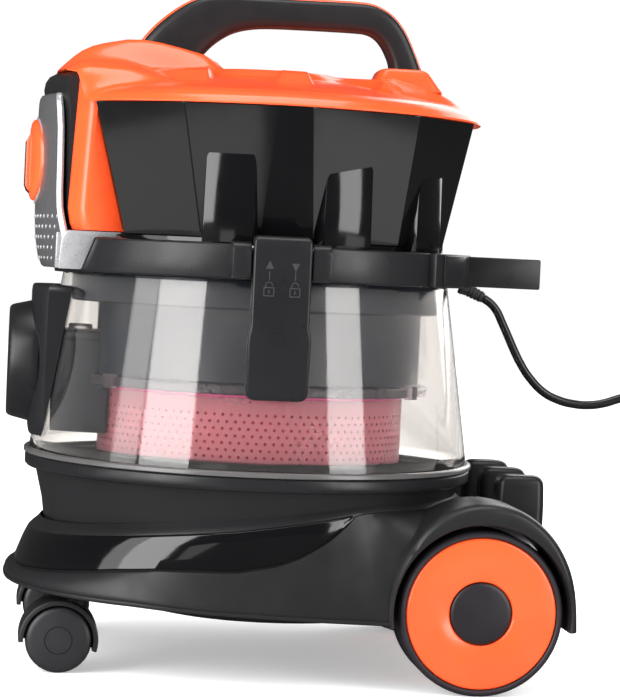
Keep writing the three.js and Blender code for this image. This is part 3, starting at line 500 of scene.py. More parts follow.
def coil_route():
    """The coil's turns, layer on layer, in from the outside and back out, and then up over its top."""
    spots = []
    steps = COIL["turns"] * COIL_STEPS
    for layer in range(COIL["layers"]):
        ends = (COIL["outer"], COIL["inner"]) if layer % 2 == 0 else (COIL["inner"], COIL["outer"])
        z = COIL["first"] + layer * LEAD_DIAMETER
        spots += [(ends[0] + (ends[1] - ends[0]) * i / steps, z) for i in range(steps + 1)]
        spots += [(ends[1], z + LEAD_DIAMETER * i / CLIMB_STEPS) for i in range(1, CLIMB_STEPS)]
    top = TAIL_ROUTE[0][2]
    spots += [(COIL["outer"], top - 0.0005), (0.0508, top), (0.0478, top), (0.0438, top)]
    route = []
    for i, (r, z) in enumerate(spots):
        turn = -TAU * i / COIL_STEPS
        route.append((COIL["x"] + r * math.cos(turn), COIL["y"] + r * math.sin(turn), z))
    return route


def make_lead():
    data = bpy.data.curves.new("mains_lead_cord", "CURVE")
    data.dimensions = "3D"
    data.bevel_depth = LEAD_DIAMETER / 2
    data.bevel_resolution = 4
    data.resolution_u = 5
    data.use_fill_caps = True
    route = LEAD_ROUTE + coil_route() + TAIL_ROUTE
    spline = data.splines.new("BEZIER")
    spline.bezier_points.add(len(route) - 1)
    for point, place in zip(spline.bezier_points, route):
        point.co = place
        point.handle_left_type = point.handle_right_type = "AUTO"
    made = bpy.data.objects.new("mains_lead_cord", data)
    bpy.context.scene.collection.objects.link(made)
    data.materials.append(sheath)
    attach(made, "head")
    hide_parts("mains_lead", "lead_coil", "lead_tail")
    return made


def aimed(part, start, toward):
    """A shape built up along Z, set at a place of the frame (in mm) and turned to face a direction."""
    points, faces = part
    turn = Vector((0, 0, 1)).rotation_difference(Vector(toward))
    moved = [turn @ Vector(p) + Vector(start) for p in points]
    return [(p.x - AXIS_X, p.y, p.z) for p in moved], faces


def make_plug():
    """A round two-pin plug with a finger grip, lying on the coil."""
    profile = [
        (0, 0), (4.2, 0), (4.6, 1), (5.4, 8), (6.6, 15), (9.5, 19), (14.4, 25), (16.2, 29), (16.9, 33),
        (17, 40)
    ]
    body = lathe(profile + [(16.6, 41.6), (15.6, 42), (0, 42)], 48)
    pins = []
    for across in (-9.5, 9.5):
        points, faces = lathe([(0, 41), (2.4, 41), (2.4, 59), (2, 60.4), (1.2, 61), (0, 61)], 16)
        pins.append(([(x + across, y, z) for x, y, z in points], faces))
    heading = (math.cos(math.radians(192)), math.sin(math.radians(192)), 0)
    start = (350.1, -149.8, 61)
    plug = piece(
        "plug_body", aimed(body, start, heading), sheath, "head", ("lead_plug",)
    )
    piece("plug_pins", aimed(merged(*pins), start, heading), steel, "head")
    return plug


def make_strain_relief():
    """A tapered sleeve with grooves round it."""
    profile = [(0, 0), (6, 0), (6, 2.6), (5.4, 3.4)]
    for i in range(5):
        z = 4 + i * 3.2
        r = 5.3 - 0.17 * i
        profile += [(r, z), (r, z + 1.9), (r - 0.8, z + 2.2), (r - 0.8, z + 2.9)]
    profile += [(4.3, 20.2), (3.8, 20.4), (0, 20.4)]
    sleeve = aimed(lathe(profile, 32), (145.4, 0, 303), (18.5, 0, -8.6))
    return piece(
        "cord_sleeve", sleeve, seal_rubber, "head", ("strain_relief",), sharp=25
    )


def make_tie():
    """A hook-and-loop strap round the coil's turns."""
    (inner, outer, low, high) = (27.6, 56.4, 1.3, 44)
    loops = [rounded(inner - g, outer + g, low - g, high + g, 3 + g) for g in (0, 1.2)]
    rings = [
        [(r, y, z) for r, z in loops[which]] for which, y in ((1, -6), (1, 6), (0, 6), (0, -6), (1, -6))
    ]
    points, faces = loft(rings, caps=False)
    turn = math.radians(155)
    moved = [
        (
            COIL["x"] / MM - AXIS_X + x * math.cos(turn) - y * math.sin(turn),
            COIL["y"] / MM + x * math.sin(turn) + y * math.cos(turn),
            z,
        )
        for x, y, z in points
    ]
    return piece("coil_strap", (moved, faces), satin, "head", ("lead_tie",))


lead = make_lead()
lead_pieces = (make_plug(), bpy.data.objects["plug_pins"], make_tie(), make_strain_relief())

# ---------- chassis ----------

NOSE, TAIL, HALF_WIDTH = 191, 237, 178
PLAN_POINTS = 160
BAND_EDGE = 172.5  # radius of the gloss band's upper edge
SWOOSH_END = 71  # where the gloss band runs out

# Heights along X: the skirt's lower edge, the gloss band's lower edge and its upper edge.
SKIRT_LOW = [(-173, 60), (-93, 58.5), (-49, 56), (33, 53), (79, 52), (120, 50.5), (237, 50.5)]
BAND_LOW = [
    (-185, 71), (-150, 76), (-110, 82), (-79, 85), (-21, 86.5), (8, 92), (24, 98), (46, 111), (61, 122),
    (71, 130.5)
]
BAND_HIGH = [(-185, 98), (-140, 104), (-80, 111), (-23, 117), (31, 125), (71, 131), (100, 133)]


def plan_radius(turn, inset):
    """Distance from the tank's axis to the chassis outline, drawn in by an inset."""
    c, s = math.cos(turn), math.sin(turn)
    reach = (NOSE if c < 0 else TAIL) - inset
    power = 2.35 if c < 0 else 7
    total = abs(c / reach) ** power + abs(s / (HALF_WIDTH - inset)) ** power
    return total ** (-1 / power)


def band_section(turn):
    """The gloss band's lower groove and upper edge in one direction, as (radius, height)."""
    x = plan_radius(turn, 8) * math.cos(turn)
    merge = ease(x, 10, SWOOSH_END)
    low_r = plan_radius(turn, 9) * (1 - merge) + BAND_EDGE * merge
    high = between(BAND_HIGH, x)
    low = min(between(BAND_LOW, x), high) if x < SWOOSH_END else high
    return x, (low_r, low), (BAND_EDGE, high)


def chassis_section(turn):
    """The chassis' cut in one direction from under its floor, out round its edge and in to the bowl."""
    x, (low_r, low), (high_r, high) = band_section(turn)
    edge = between(SKIRT_LOW, x)
    wall = plan_radius(turn, 1)
    lip = [
        (plan_radius(turn, 14), 70),
        (plan_radius(turn, 6), edge + 1),
        (plan_radius(turn, 2), edge),
        (plan_radius(turn, 0.3), edge + 0.8),
        (plan_radius(turn, 0), edge + 2.2),
        (plan_radius(turn, 0.2), edge + 3.2),
        (plan_radius(turn, 1.2), edge + 3.6),
        (plan_radius(turn, 1.1), edge + 4.4),
    ]
    power = 2.6 - 1.4 * ease(x, -170, -60) + 2.2 * ease(x, 80, 130)
    start = edge + 5
    flare = [
        (wall + (low_r - wall) * t**power, start + (low - start) * t)
        for t in (0, 0.12, 0.3, 0.5, 0.7, 0.85, 0.95, 1)
    ]
    shoulder = [
        (low_r - 1.6, low + 0.6),
        (low_r - 1.2, low + 1.6 * (high > low + 3)),
        (high_r - 1, high - 0.5),
        (170.5, high + 2),
        (166.5, high + 5.2),
        (163.8, high + 8.6),
        (163.2, high + 9),
        (161, 82),
        (12, 82),
    ]
    return [(12, 71)] + lip + flare + shoulder


def round_part(section, turns, inside=False):
    """A loft over cuts taken at several turns about the tank's axis."""
    rings = [[(r * math.cos(t), r * math.sin(t), z) for r, z in section(t)] for t in turns]
    if inside:
        return loft(rings)
    return loft([*rings, rings[0]], closed=False, caps=False)


def close_ends(part, count, rings):
    """Adds the flat faces in the middle that a loft round the axis leaves open."""
    points, faces = part
    first = [level * count for level in range(rings)]
    last = [level * count + count - 1 for level in range(rings)]
    return points, [*faces, tuple(first), tuple(reversed(last))]


def make_chassis():
    turns = [TAU * i / PLAN_POINTS for i in range(PLAN_POINTS)]
    count = len(chassis_section(0))
    body = new_object("chassis_body", close_ends(round_part(chassis_section, turns), count, PLAN_POINTS))
    wells = []
    for side, _ in SIDES:
        hole = wheel_lathe([(0, -7), (WELL_R, -7), (WELL_R, 60), (0, 60)], side, 64)
        slot_below = block(95, 229, 121, 190, 0, 62) if side > 0 else block(95, 229, -190, -121, 0, 62)
        wells += [hole, slot_below]
    carve(body, wells)
    finish(body, satin, "base", ("chassis_shell",), sharp=40)
    piece("gloss_shoulder", gloss_band(), gloss, "base", sharp=50)


def gloss_band():
    """The glossy band that wraps the front and runs out along both sides."""
    reach = math.acos(SWOOSH_END / plan_radius(math.radians(62), 8))
    steps = 150

    def section(turn):
        x, (low_r, low), (high_r, high) = band_section(turn)
        tall = max(high - low, 0.4)
        bulge = 1.1 * min(tall / 20, 1)
        lower = min(1.6, tall * 0.3)
        return [
            (low_r - 3, low + lower),
            (low_r - 0.6, low + lower),
            (low_r + 0.3, low + lower + min(0.9, tall * 0.1)),
            (low_r + (high_r - low_r) * 0.35 + bulge, low + tall * 0.35 + 0.5),
            (low_r + (high_r - low_r) * 0.7 + bulge, low + tall * 0.7),
            (high_r + 0.7, high - 1.2 * min(tall / 8, 1)),
            (high_r - 0.4, high + 0.4),
            (high_r - 3, high + 1.0),
        ]

    turns = [reach + (TAU - 2 * reach) * i / steps for i in range(steps + 1)]
    return round_part(section, turns, inside=True)


# ---------- wheels ----------

WHEEL_X, WHEEL_R, WHEEL_INNER = 162, 62, 128
WELL_R = 67
ARCH_FOOT = 50.5


def wheel_lathe(profile, side, segments=96):
    """A [radius, outwards] profile turned about a rear wheel's axle."""
    points, faces = lathe(profile, segments)
    return [(WHEEL_X + x, side * (WHEEL_INNER + h), WHEEL_R + y) for x, y, h in points], faces


def make_wheels():
    tyre = [(56.8, 2), (59, 0.3), (61, 0.6), (62, 2.5), (62, 12), (61.6, 12.6), (61.6, 13.4), (62, 14)]
    tyre += [
        (62, 31), (61.6, 31.6), (61.6, 32.4), (62, 33), (62, 40), (61.4, 42), (60.2, 43.4), (59, 44),
        (58, 43.9)
    ]
    tyre += [(57.2, 43.2), (56.9, 42.4), (56.8, 2)]
    disc = [
        (5.3, 3), (55.5, 3), (56.5, 4), (56.5, 41.6), (55.9, 42.8), (54.6, 43.3), (40, 42.6),
        (25.2, 41.9)
    ]
    disc += [(24.2, 41.2), (23.9, 40), (23.8, 36.2), (5.3, 36.2), (5.3, 3)]
    cap = [(0, 36.4), (23, 36.4), (23.2, 38), (23.1, 40.2), (22.4, 41), (20, 41.5), (10, 42), (0, 42.1)]
    for side, name in SIDES:
        body = f"wheel_{name}"
        piece(
            f"{body}_tyre", wheel_lathe(tyre, side, 128), tyre_rubber, body, (f"tyre_{name}",),
        )
        spokes = wheel_lathe(disc, side, 128)
        piece(
            f"{body}_disc", spokes, orange, body, (f"wheel_disc_{name}",),
            sharp=50
        )
        piece(
            f"{body}_cap", wheel_lathe(cap, side), hub, body, (f"hub_cap_{name}",),
            sharp=50
        )


ARCH = [
    (88, 50.5), (89.5, 62), (92, 76), (97, 93), (105, 110), (115, 124), (127, 134), (142, 141),
    (157, 144.2)
]
ARCH += [
    (172, 143.8), (188, 140), (203, 131), (216, 118), (226, 101), (231.5, 84), (234, 67), (235, 50.5)
]


def make_arches():
    """The fenders over the rear wheels, each with a rolled outer edge."""
    outer = smooth(ARCH, 4)
    sections = []
    for i, (x, z) in enumerate(outer):
        share = i / (len(outer) - 1)
        turn = math.radians(190 - 200 * share)
        inner = Vector((WHEEL_X + WELL_R * math.cos(turn), WHEEL_R + WELL_R * math.sin(turn)))
        inner.y = max(inner.y, ARCH_FOOT) if 0 < share < 1 else ARCH_FOOT
        out = Vector((x, z))
        span = (inner - out).length
        step = (inner - out) / span
        cut = []
        for depth, y in (
            (0, 118), (0, 168), (0.5, 172), (2, 175.4), (4.4, 177.4), (min(6.5, span * 0.6), 178),
            (span - 1.2, 178), (span - 0.4, 177.6), (span, 176.6), (span, 118),
        ):
            spot = out + step * depth
            cut.append((spot.x, y, spot.y))
        sections.append(cut)
    for side, name in SIDES:
        arch = loft([[(x, y * side, z) for x, y, z in cut] for cut in sections])
        piece(f"wheel_arch_{name}", arch, satin, "base", sharp=50)


CASTER_X, CASTER_Y, CASTER_Z = -148, 95, 25
CASTER_TRAIL = 12  # from the axle forward to the swivel


def caster_lathe(profile, y, start=0.0, sweep=TAU, segments=64):
    """A [radius, outwards] profile turned about a caster's axle."""
    points, faces = lathe(profile, segments, start, sweep)
    return [(CASTER_X + a, y + h, CASTER_Z + b) for a, b, h in points], faces


def make_casters():
    hood = [
        (26.3, -20), (28.6, -20), (29.6, -19.4), (30, -18), (30, 18), (29.6, 19.4), (28.6, 20),
        (26.3, 20)
    ]
    hood += [(26.3, 2.9), (7, 2.9), (7, -2.9), (26.3, -2.9), (26.3, -20)]
    tread = [
        (0, 17), (3.4, 17), (3.4, 3.7), (23.6, 3.7), (24.6, 4.2), (25, 5.4), (25, 15.4), (24.6, 17.4),
        (23.4, 18.8)
    ]
    tread += [(20, 19.5), (10.6, 19.9), (10.4, 19.3), (10, 19.3), (9.8, 19.9), (0, 20)]
    for side, name in SIDES:
        y = side * CASTER_Y
        points, faces = lathe([(0, 20), (9.5, 20), (9.5, 29.5), (8.6, 30.4), (0, 30.4)], 40)
        boss = [(a + CASTER_X + CASTER_TRAIL, b + y, c + CASTER_Z) for a, b, c in points]
        cover = merged(caster_lathe(hood, y, math.radians(-16), math.radians(200)), (boss, faces))
        caster = f"caster_{name}"
        piece(
            f"{caster}_cover", cover, satin, caster, (f"caster_hood_{name}",),
            sharp=40
        )
        for turn, half in SIDES:
            wheel = caster_lathe([(r, turn * h) for r, h in tread], y)
            names = (f"caster_wheel_{name}_{half}",)
            piece(
                f"roller_{name}_{half}_tread", wheel, caster_rubber, f"roller_{name}_{half}", names,
                sharp=40
            )


def make_underside():
    profile = [
        (0, 40), (98, 40), (104, 41.2), (117, 46.4), (118, 48), (118, 52), (60, 52), (60, 71), (0, 71)
    ]
    points, faces = lathe(profile, 96)
    moved = [(x + 19, y, z) for x, y, z in points]
    piece("underside_cover", (moved, faces), satin, "base", ("underside_plate",))


def make_pegs():
    """Three rounded posts, each with a slot in its top and a slit down its side."""
    levels = [(88, 0), (134, 0), (150, 0.5), (153.6, 1.2), (156, 2.6), (157.4, 4.6), (158, 7.6)]
    for y, name in ((-67, "left"), (0, "middle"), (67, "right")):
        rings = []
        for z, inset in levels:
            outline = rounded(
                189 + inset, 227 - inset, y - 12.5 + inset, y + 12.5 - inset, 6.5 - inset * 0.35, 6
            )
            rings.append([(a, b, z) for a, b in outline])
        peg = new_object(f"peg_{name}", loft(rings))
        slots = [
            block(205, 213, y - 1.2, y + 1.2, 154, 160),
            block(210, 212, y - 14, y - 11.4, 96, 130),
            block(210, 212, y + 11.4, y + 14, 96, 130),
        ]
        carve(peg, slots)
        finish(peg, satin_smooth, "base", (f"accessory_peg_{name}",), sharp=40)


make_chassis()
make_wheels()
make_arches()
make_casters()
make_underside()
make_pegs()

# ---------- bowl, clear tank and inlet ----------


def make_bowl():
    bowl = [
        (0, 82.4), (118, 82.4), (124, 83.6), (145, 90), (156, 98), (161, 108), (163, 122), (169.6, 149),
        (170.4, 151.4)
    ]
    bowl += [
        (171, 157.4), (167, 157.4), (166.4, 150), (159.4, 122), (157.5, 109), (152.5, 100), (142, 93.5),
        (118, 86), (0, 86)
    ]
    piece("bowl_wall", lathe(bowl, 128), satin, "base", ("lower_bowl",), sharp=40)
    rim = [
        (169.8, 147.6), (173.6, 147), (176, 147.6), (177.2, 149), (177.4, 150.6), (177.4, 155.6),
        (176.8, 157.2)
    ]
    rim += [(175.4, 157.8), (168, 157.8), (168, 156), (169.8, 155), (169.8, 147.6)]
    piece("bowl_rim", lathe(rim, 128), satin_smooth, "base", sharp=50)


def make_tank():
    """The tank's wall, thicker at its foot, with a flange standing on the bowl's rim."""
    wall = [
        (170.4, 158.1), (174.4, 158.1), (174.2, 165), (153.2, 301), (153, 303), (153, 317), (152.2, 318),
        (150.2, 318)
    ]
    wall += [(149.5, 317), (149.5, 303), (149.7, 301), (170.2, 170), (170.4, 168), (170.4, 158.1)]
    tank = new_object("tank_shell", lathe(wall, 128))
    carve(tank, [front_lathe([(0, 100), (23.8, 100), (23.8, 186), (0, 186)], 48)])
    finish(tank, clear, "base", ("clear_tank",), sharp=40)
    flange = [
        (174.6, 158.1), (178, 158.1), (178.6, 158.6), (178.6, 161), (178, 161.8), (174.6, 162.2),
        (174.6, 158.1)
    ]
    piece("tank_flange", lathe(flange, 128), smoky, "base", sharp=50)


INLET_Z = 229
INLET_HALF = 52
INLET_BORE = 20


def front_lathe(profile, segments=96, z=INLET_Z):
    """A [radius, forwards] profile turned about a line that points to the front."""
    points, faces = lathe(profile, segments)
    return [(-h, a, z + b) for a, b, h in points], faces


def tank_front(y, z, grow=0.5):
    """X of the tank's front wall at a width and height."""
    r = 174 + (153 - 174) * min(max((z - 167) / 135, 0), 1) + grow
    return -math.sqrt(max(r * r - y * y, 1))


def make_inlet():
    rings = []
    levels = [
        (173, 3, -175), (174.5, 1.4, -176), (178, 0.4, -176.6), (184, 0, -177), (284, 0, -177),
        (288, 0.4, -176.6)
    ]
    levels += [(289.4, 1.2, -176), (290, 2, -175)]
    for z, inset, face in levels:
        half = INLET_HALF - inset
        ys = [half * math.sin(math.radians(-90 + 180 * i / 24)) for i in range(25)]
        front = [(min(face + 12 * abs(y / half) ** 5, tank_front(y, z) - 0.2), y, z) for y in ys]
        back = [(tank_front(y, z), y, z) for y in reversed(ys)]
        rings.append(front + back)
    housing = new_object("inlet_housing", loft(rings))
    carve(housing, [front_lathe([(0, 130), (INLET_BORE, 130), (INLET_BORE, 200), (0, 200)], 48)])
    finish(housing, satin_smooth, "base", ("inlet_flange",), sharp=40)
    neck = front_lathe([(20, 146), (23.2, 146), (23.2, 175), (20, 175), (20, 146)], 64)
    piece("inlet_neck", neck, satin_smooth, "base")
    dish = [
        (20, 171), (47.4, 171), (48, 172), (47.8, 176), (44.6, 189.4), (43.6, 192.2), (41.8, 193.8),
        (39.4, 194)
    ]
    dish += [(34, 192.6), (29, 189.6), (26, 187), (22.6, 185.4), (20, 185.2), (20, 171)]
    piece(
        "inlet_dish", front_lathe(dish), satin_smooth, "base", ("inlet_socket",),
        sharp=50
    )


def make_baffle():
    """A box with round corners behind the inlet, open below, with a round boss over it."""
    outline = smooth(
        [(-45, 178), (-45, 240), (-43, 250), (-36, 256), (36, 256), (43, 250), (45, 240), (45, 178)], 3
    )
    outer = [(-161 + 0.06 * abs(y), y, z) for y, z in outline]
    inner = [(-116, y, z) for y, z in outline]
    inside = [(-116, y * 0.93, 178 + (z - 178) * 0.95) for y, z in outline]
    deep = [(-155 + 0.06 * abs(y), y * 0.93, 178 + (z - 178) * 0.95) for y, z in outline]
    points, faces = loft([outer, inner, inside, deep], closed=False, caps=False)
    count = len(outline)
    faces = [*faces, tuple(range(count)), tuple(reversed(range(3 * count, 4 * count)))]
    piece(
        "baffle_box", (points, faces), inner_dark, "base", ("inlet_baffle",),
        bevel=1
    )
    boss, boss_faces = lathe([(0, 0), (9, 0), (9, 3), (8, 4), (5, 4), (4, 2), (0, 2)], 32)
    placed = [(-138 + x, -30 + y, 257 + z) for x, y, z in boss]
    piece("baffle_boss", (placed, boss_faces), frosted, "base")


# ---------- separator, basket and filter inside the tank ----------

NOTCH = block(-200, -112, -50, 50, 205, 279)


def make_separator():
    drum = [
        (124, 216), (126, 215.6), (135.6, 215.6), (137, 217), (137, 222.6), (135.8, 224), (133.4, 224.6),
        (133, 226)
    ]
    drum += [
        (133, 277), (133.6, 278.8), (144.6, 279), (146, 280.4), (146, 300.6), (145, 302), (139, 302),
        (138, 304)
    ]
    drum += [
        (138, 319.5), (12, 320.6), (12, 317), (134.6, 316), (137.5, 283), (129.6, 282), (129.6, 228),
        (124, 227), (124, 216)
    ]
    body = new_object("separator_drum", lathe(drum, 128))
    carve(body, [NOTCH])
    finish(body, inner_dark, "head", ("separator_housing",), sharp=40)
    back = prism(rounded(-52, 52, 224, 279.4, 3), -111.6, -108.6, "yz")
    piece("separator_wall", back, inner_dark, "head")
    lip = [
        (137.2, 216), (139.6, 216.2), (140, 217), (140, 222), (139.6, 222.8), (137.2, 223), (137.2, 216)
    ]
    clips = [spun(block(136, 143, -5, 5, 214.6, 225), turn) for turn in (-34, 34, -146, 146)]
    ring = lathe(lip, 128, math.radians(-158), math.radians(316))
    piece("separator_clips", merged(ring, *clips), frosted, "head", bevel=0.6)


def spun(part, degrees):
    """A shape turned about the tank's axis."""
    points, faces = part
    c, s = math.cos(math.radians(degrees)), math.sin(math.radians(degrees))
    return [(x * c - y * s, x * s + y * c, z) for x, y, z in points], faces


HOLE_ROWS = 7
HOLE_COLUMNS = 116
HOLE_LOW, HOLE_HIGH = 166, 203
HOLE_R = 1.25
BASKET_R = 121


def basket_wall(radius):
    """The basket's wall as a skin with staggered rows of small round holes."""
    points, faces = [], []
    tall = (HOLE_HIGH - HOLE_LOW) / HOLE_ROWS
    for row in range(HOLE_ROWS):
        shift = 0.5 * (row % 2)
        middle = HOLE_LOW + (row + 0.5) * tall
        for column in range(HOLE_COLUMNS):
            centre = TAU * (column + shift) / HOLE_COLUMNS
            half = TAU / HOLE_COLUMNS / 2
            corners = [(-1, -1), (0, -1), (1, -1), (1, 0), (1, 1), (0, 1), (-1, 1), (-1, 0)]
            start = len(points)
            for a, b in corners:
                points.append(on_cylinder(radius, centre + a * half, middle + b * tall / 2))
            for a, b in corners:
                size = HOLE_R / math.hypot(a, b)
                points.append(on_cylinder(radius, centre + a * size / radius, middle + b * size))
            for i in range(8):
                j = (i + 1) % 8
                faces.append((start + i, start + j, start + 8 + j, start + 8 + i))
    return points, faces


def on_cylinder(r, turn, z):
    return (r * math.cos(turn), r * math.sin(turn), z)


def make_basket():
    wall = new_object("basket_wall", basket_wall(BASKET_R))
    solidify = wall.modifiers.new("wall", "SOLIDIFY")
    solidify.thickness = 2.4 * MM
    solidify.offset = -1
    apply_modifiers(wall)
    finish(wall, cloudy, "head", ("filter_basket",), sharp=40)
    floor = [
        (0, 161), (117, 161), (119.4, 161.8), (120.8, 163.4), (121, 166), (118.6, 166), (118, 164),
        (0, 164)
    ]
    piece("basket_floor", lathe(floor, 128), cloudy, "head")
    collar = [(118.6, HOLE_HIGH), (121, HOLE_HIGH), (121, 213), (118.6, 213), (118.6, HOLE_HIGH)]
    piece("basket_collar", lathe(collar, 128), cloudy, "head")
    top = [(118.4, 213), (121.8, 213), (122.2, 213.6), (122.2, 215), (118.4, 215.4), (118.4, 213)]
    piece("basket_rim", lathe(top, 128), magenta, "head")


def make_filter():
    """A pleated filter: deep folds with rounded crests, between two end rings."""
    pleats, samples = 64, 6
    valley, fold_depth, hollow = 101, 5, 82
    outline = []
    for i in range(pleats * samples):
        turn = TAU * i / (pleats * samples)
        fold = abs(math.sin(turn * pleats / 2)) ** 0.7
        outline.append((valley + fold_depth * fold, turn))
    heights = [(164.6, -1.5), (166, 0), (175, 0.5), (185, 0.8), (195, 0.5), (203, 0), (204.4, -1.5)]
    rings = [
        [((r + swell) * math.cos(t), (r + swell) * math.sin(t), z) for r, t in outline]
        for z, swell in heights
    ]
    inner = [
        [(hollow * math.cos(t), hollow * math.sin(t), z) for _, t in outline]
        for z in (204.4, 164.6)
    ]
    skin = loft([*rings, *inner, rings[0]], caps=False)
    piece("filter_pleats", skin, coral, "head", ("filter_cartridge",), sharp=60)
    ring = [
        (66, 205), (106, 205), (107.6, 206), (108, 208), (107.4, 211), (105, 212), (66, 212), (66, 205)
    ]
    piece(
        "filter_end_ring", lathe(ring, 128), magenta, "head", ("filter_ring",),
        sharp=50
    )


make_bowl()
make_tank()
make_inlet()
make_baffle()
make_separator()
make_basket()
make_filter()

# ---------- clamp band, latches and hooks ----------


def band_edge(z):
    """X of the line where the band meets the silver trim."""
    return -142 + (z - 302) / 26 * 10


def make_band():
    profile = [
        (156, 302), (164.6, 302), (165.6, 302.5), (166, 303.6), (166, 326.4), (165.6, 327.5),
        (164.6, 328), (156, 328)
    ]
    rings = []
    steps = 140
    for i in range(steps + 1):
        share = i / steps
        ring = []
        for r, z in profile:
            reach = math.acos(band_edge(z) / r)
            turn = -reach + 2 * reach * share
            ring.append((r * math.cos(turn), r * math.sin(turn), z))
        rings.append(ring)
    brackets = []
    outline = [
        (157, 303), (180, 303), (181.6, 304.4), (182, 307), (182, 322), (180.6, 326.6), (177.4, 329.4),
        (173, 330), (157, 330)
    ]
    for side, _ in SIDES:
        for x0, x1 in ((-36.5, -22.5), (22.5, 36.5)):
            bracket = prism([(-y, z) for y, z in outline], x0, x1, "yz")
            brackets.append(on_side(bracket, side))
    piece("band_ring", loft(rings), satin_smooth, "head", ("clamp_band",), sharp=50)
    piece("latch_brackets", merged(*brackets), satin_smooth, "head", bevel=1.4)


def make_hooks():
    for side, name in SIDES:
        start, sweep = math.radians(-44), math.radians(24)
        foot = [
            (166.1, 302), (172.4, 302), (173, 302.8), (173, 327.2), (172.4, 328), (166.1, 328),
            (166.1, 302)
        ]
        foot_part = lathe(foot[:-1], 12, start, sweep)
        step = lathe(
            [(173, 303), (174.4, 303.4), (174.4, 326.6), (173, 327)], 8, start + 0.06, sweep * 0.55
        )
        arm = prism(rounded(140, 217, 303.5, 327, 1.6, 4), -66, -58)
        hook = on_side(merged(foot_part, step, arm), side)
        piece(
            f"hook_{name}", hook, satin_smooth, "head", (f"cord_hook_{name}",),
            bevel=0.7
        )


def latch_marks():
    """A padlock outline and an arrow, twice, standing a hair proud of the lever's face."""
    marks = []
    face, proud = -185, -185.3
    for x, up in ((-9.5, True), (9.5, False)):
        tip, foot = (317, 311) if up else (309.5, 315.5)
        marks.append(prism([(x - 3, foot), (x + 3, foot), (x, tip)], proud, face))
        marks.append(block(x - 0.4, x + 0.4, proud, face, 303, 309.2))
        low = 291
        for x0, x1, z0, z1 in (
            (-4, 4, 0, 0.8), (-4, 4, 6, 6.8), (-4, -3.2, 0.8, 6), (3.2, 4, 0.8, 6), (-0.5, 0.5, 2, 4.6)
        ):
            marks.append(block(x + x0, x + x1, proud, face, low + z0, low + z1))
        bow = arc((x, low + 8), 2.9, 0, 180, 10)
        inner = arc((x, low + 8), 2.1, 180, 0, 10)
        marks.append(prism(bow + inner, proud, face))
        marks.append(block(x - 2.9, x - 2.1, proud, face, low + 6.8, low + 8))
    return merged(*marks)


def make_latches():
    """Levers with a bevelled top, an inset grip below and two marks on the face."""
    lever = [
        (215, 17, 180.4, 3), (215.8, 20, 181.6, 3.2), (218, 22.2, 182.6, 3.4), (222, 23.2, 183.4, 3),
        (258, 23.6, 187, 2.4)
    ]
    lever += [
        (261, 23.4, 187, 2.2), (264, 22.6, 186.4, 2), (267, 21.7, 185.4, 2), (271, 21.5, 185, 2),
        (327, 21.5, 185, 2)
    ]
    lever += [(331, 21.3, 184.4, 2), (333.6, 20.4, 182.8, 2.4), (335, 18.6, 180, 3)]
    for side, name in SIDES:
        rings = []
        for z, half, outer, radius in lever:
            inner = 173 + 4 * ease(-z, -272, -262)
            outline = rounded(-half, half, -outer, -inner, min(radius, (outer - inner) / 2.2), 4)
            rings.append([(a, b, z) for a, b in outline])
        nose = prism(
            [(-174, 290), (-174, 299), (-168, 299), (-162.4, 295), (-162.4, 291)], -20, 20, "yz"
        )
        shell = on_side(merged(loft(rings), nose), side)
        body = f"latch_{name}"
        piece(f"{body}_lever", shell, satin_smooth, body, (body,), sharp=50)
        piece(f"{body}_marks", on_side(latch_marks(), side), mark, body)


make_band()
make_hooks()
make_latches()

# ---------- motor head ----------

SKIRT_LOW_Z, SKIRT_HIGH_Z = 332, 430
SKIRT_LOW_R, SKIRT_HIGH_R = 150, 173
# Where the skirt's flat faces meet, at the top and at the bottom,
# in degrees from the machine's side towards the rear.
FACETS = [(-52.4, -47.9), (-25.6, -22.2), (-2.1, -5.3), (6, 9.9), (36.9, 39.2), (65.2, 68.8)]
# Upright blocks that stand out of the leaning faces: start and end in degrees, and top.
BLOCKS = [(-20.4, -7.2, 397), (12, 26, 392), (44, 56, 388), (73, 84, 386)]


def cheek_rear(z):
    """X of the slanted line where the orange cheek ends and the skirt begins."""
    return -111 - (z - 334) / 96 * 25


def skirt_point(degrees, r, z):
    turn = math.radians(degrees - 90)
    return (r * math.cos(turn), r * math.sin(turn), z)


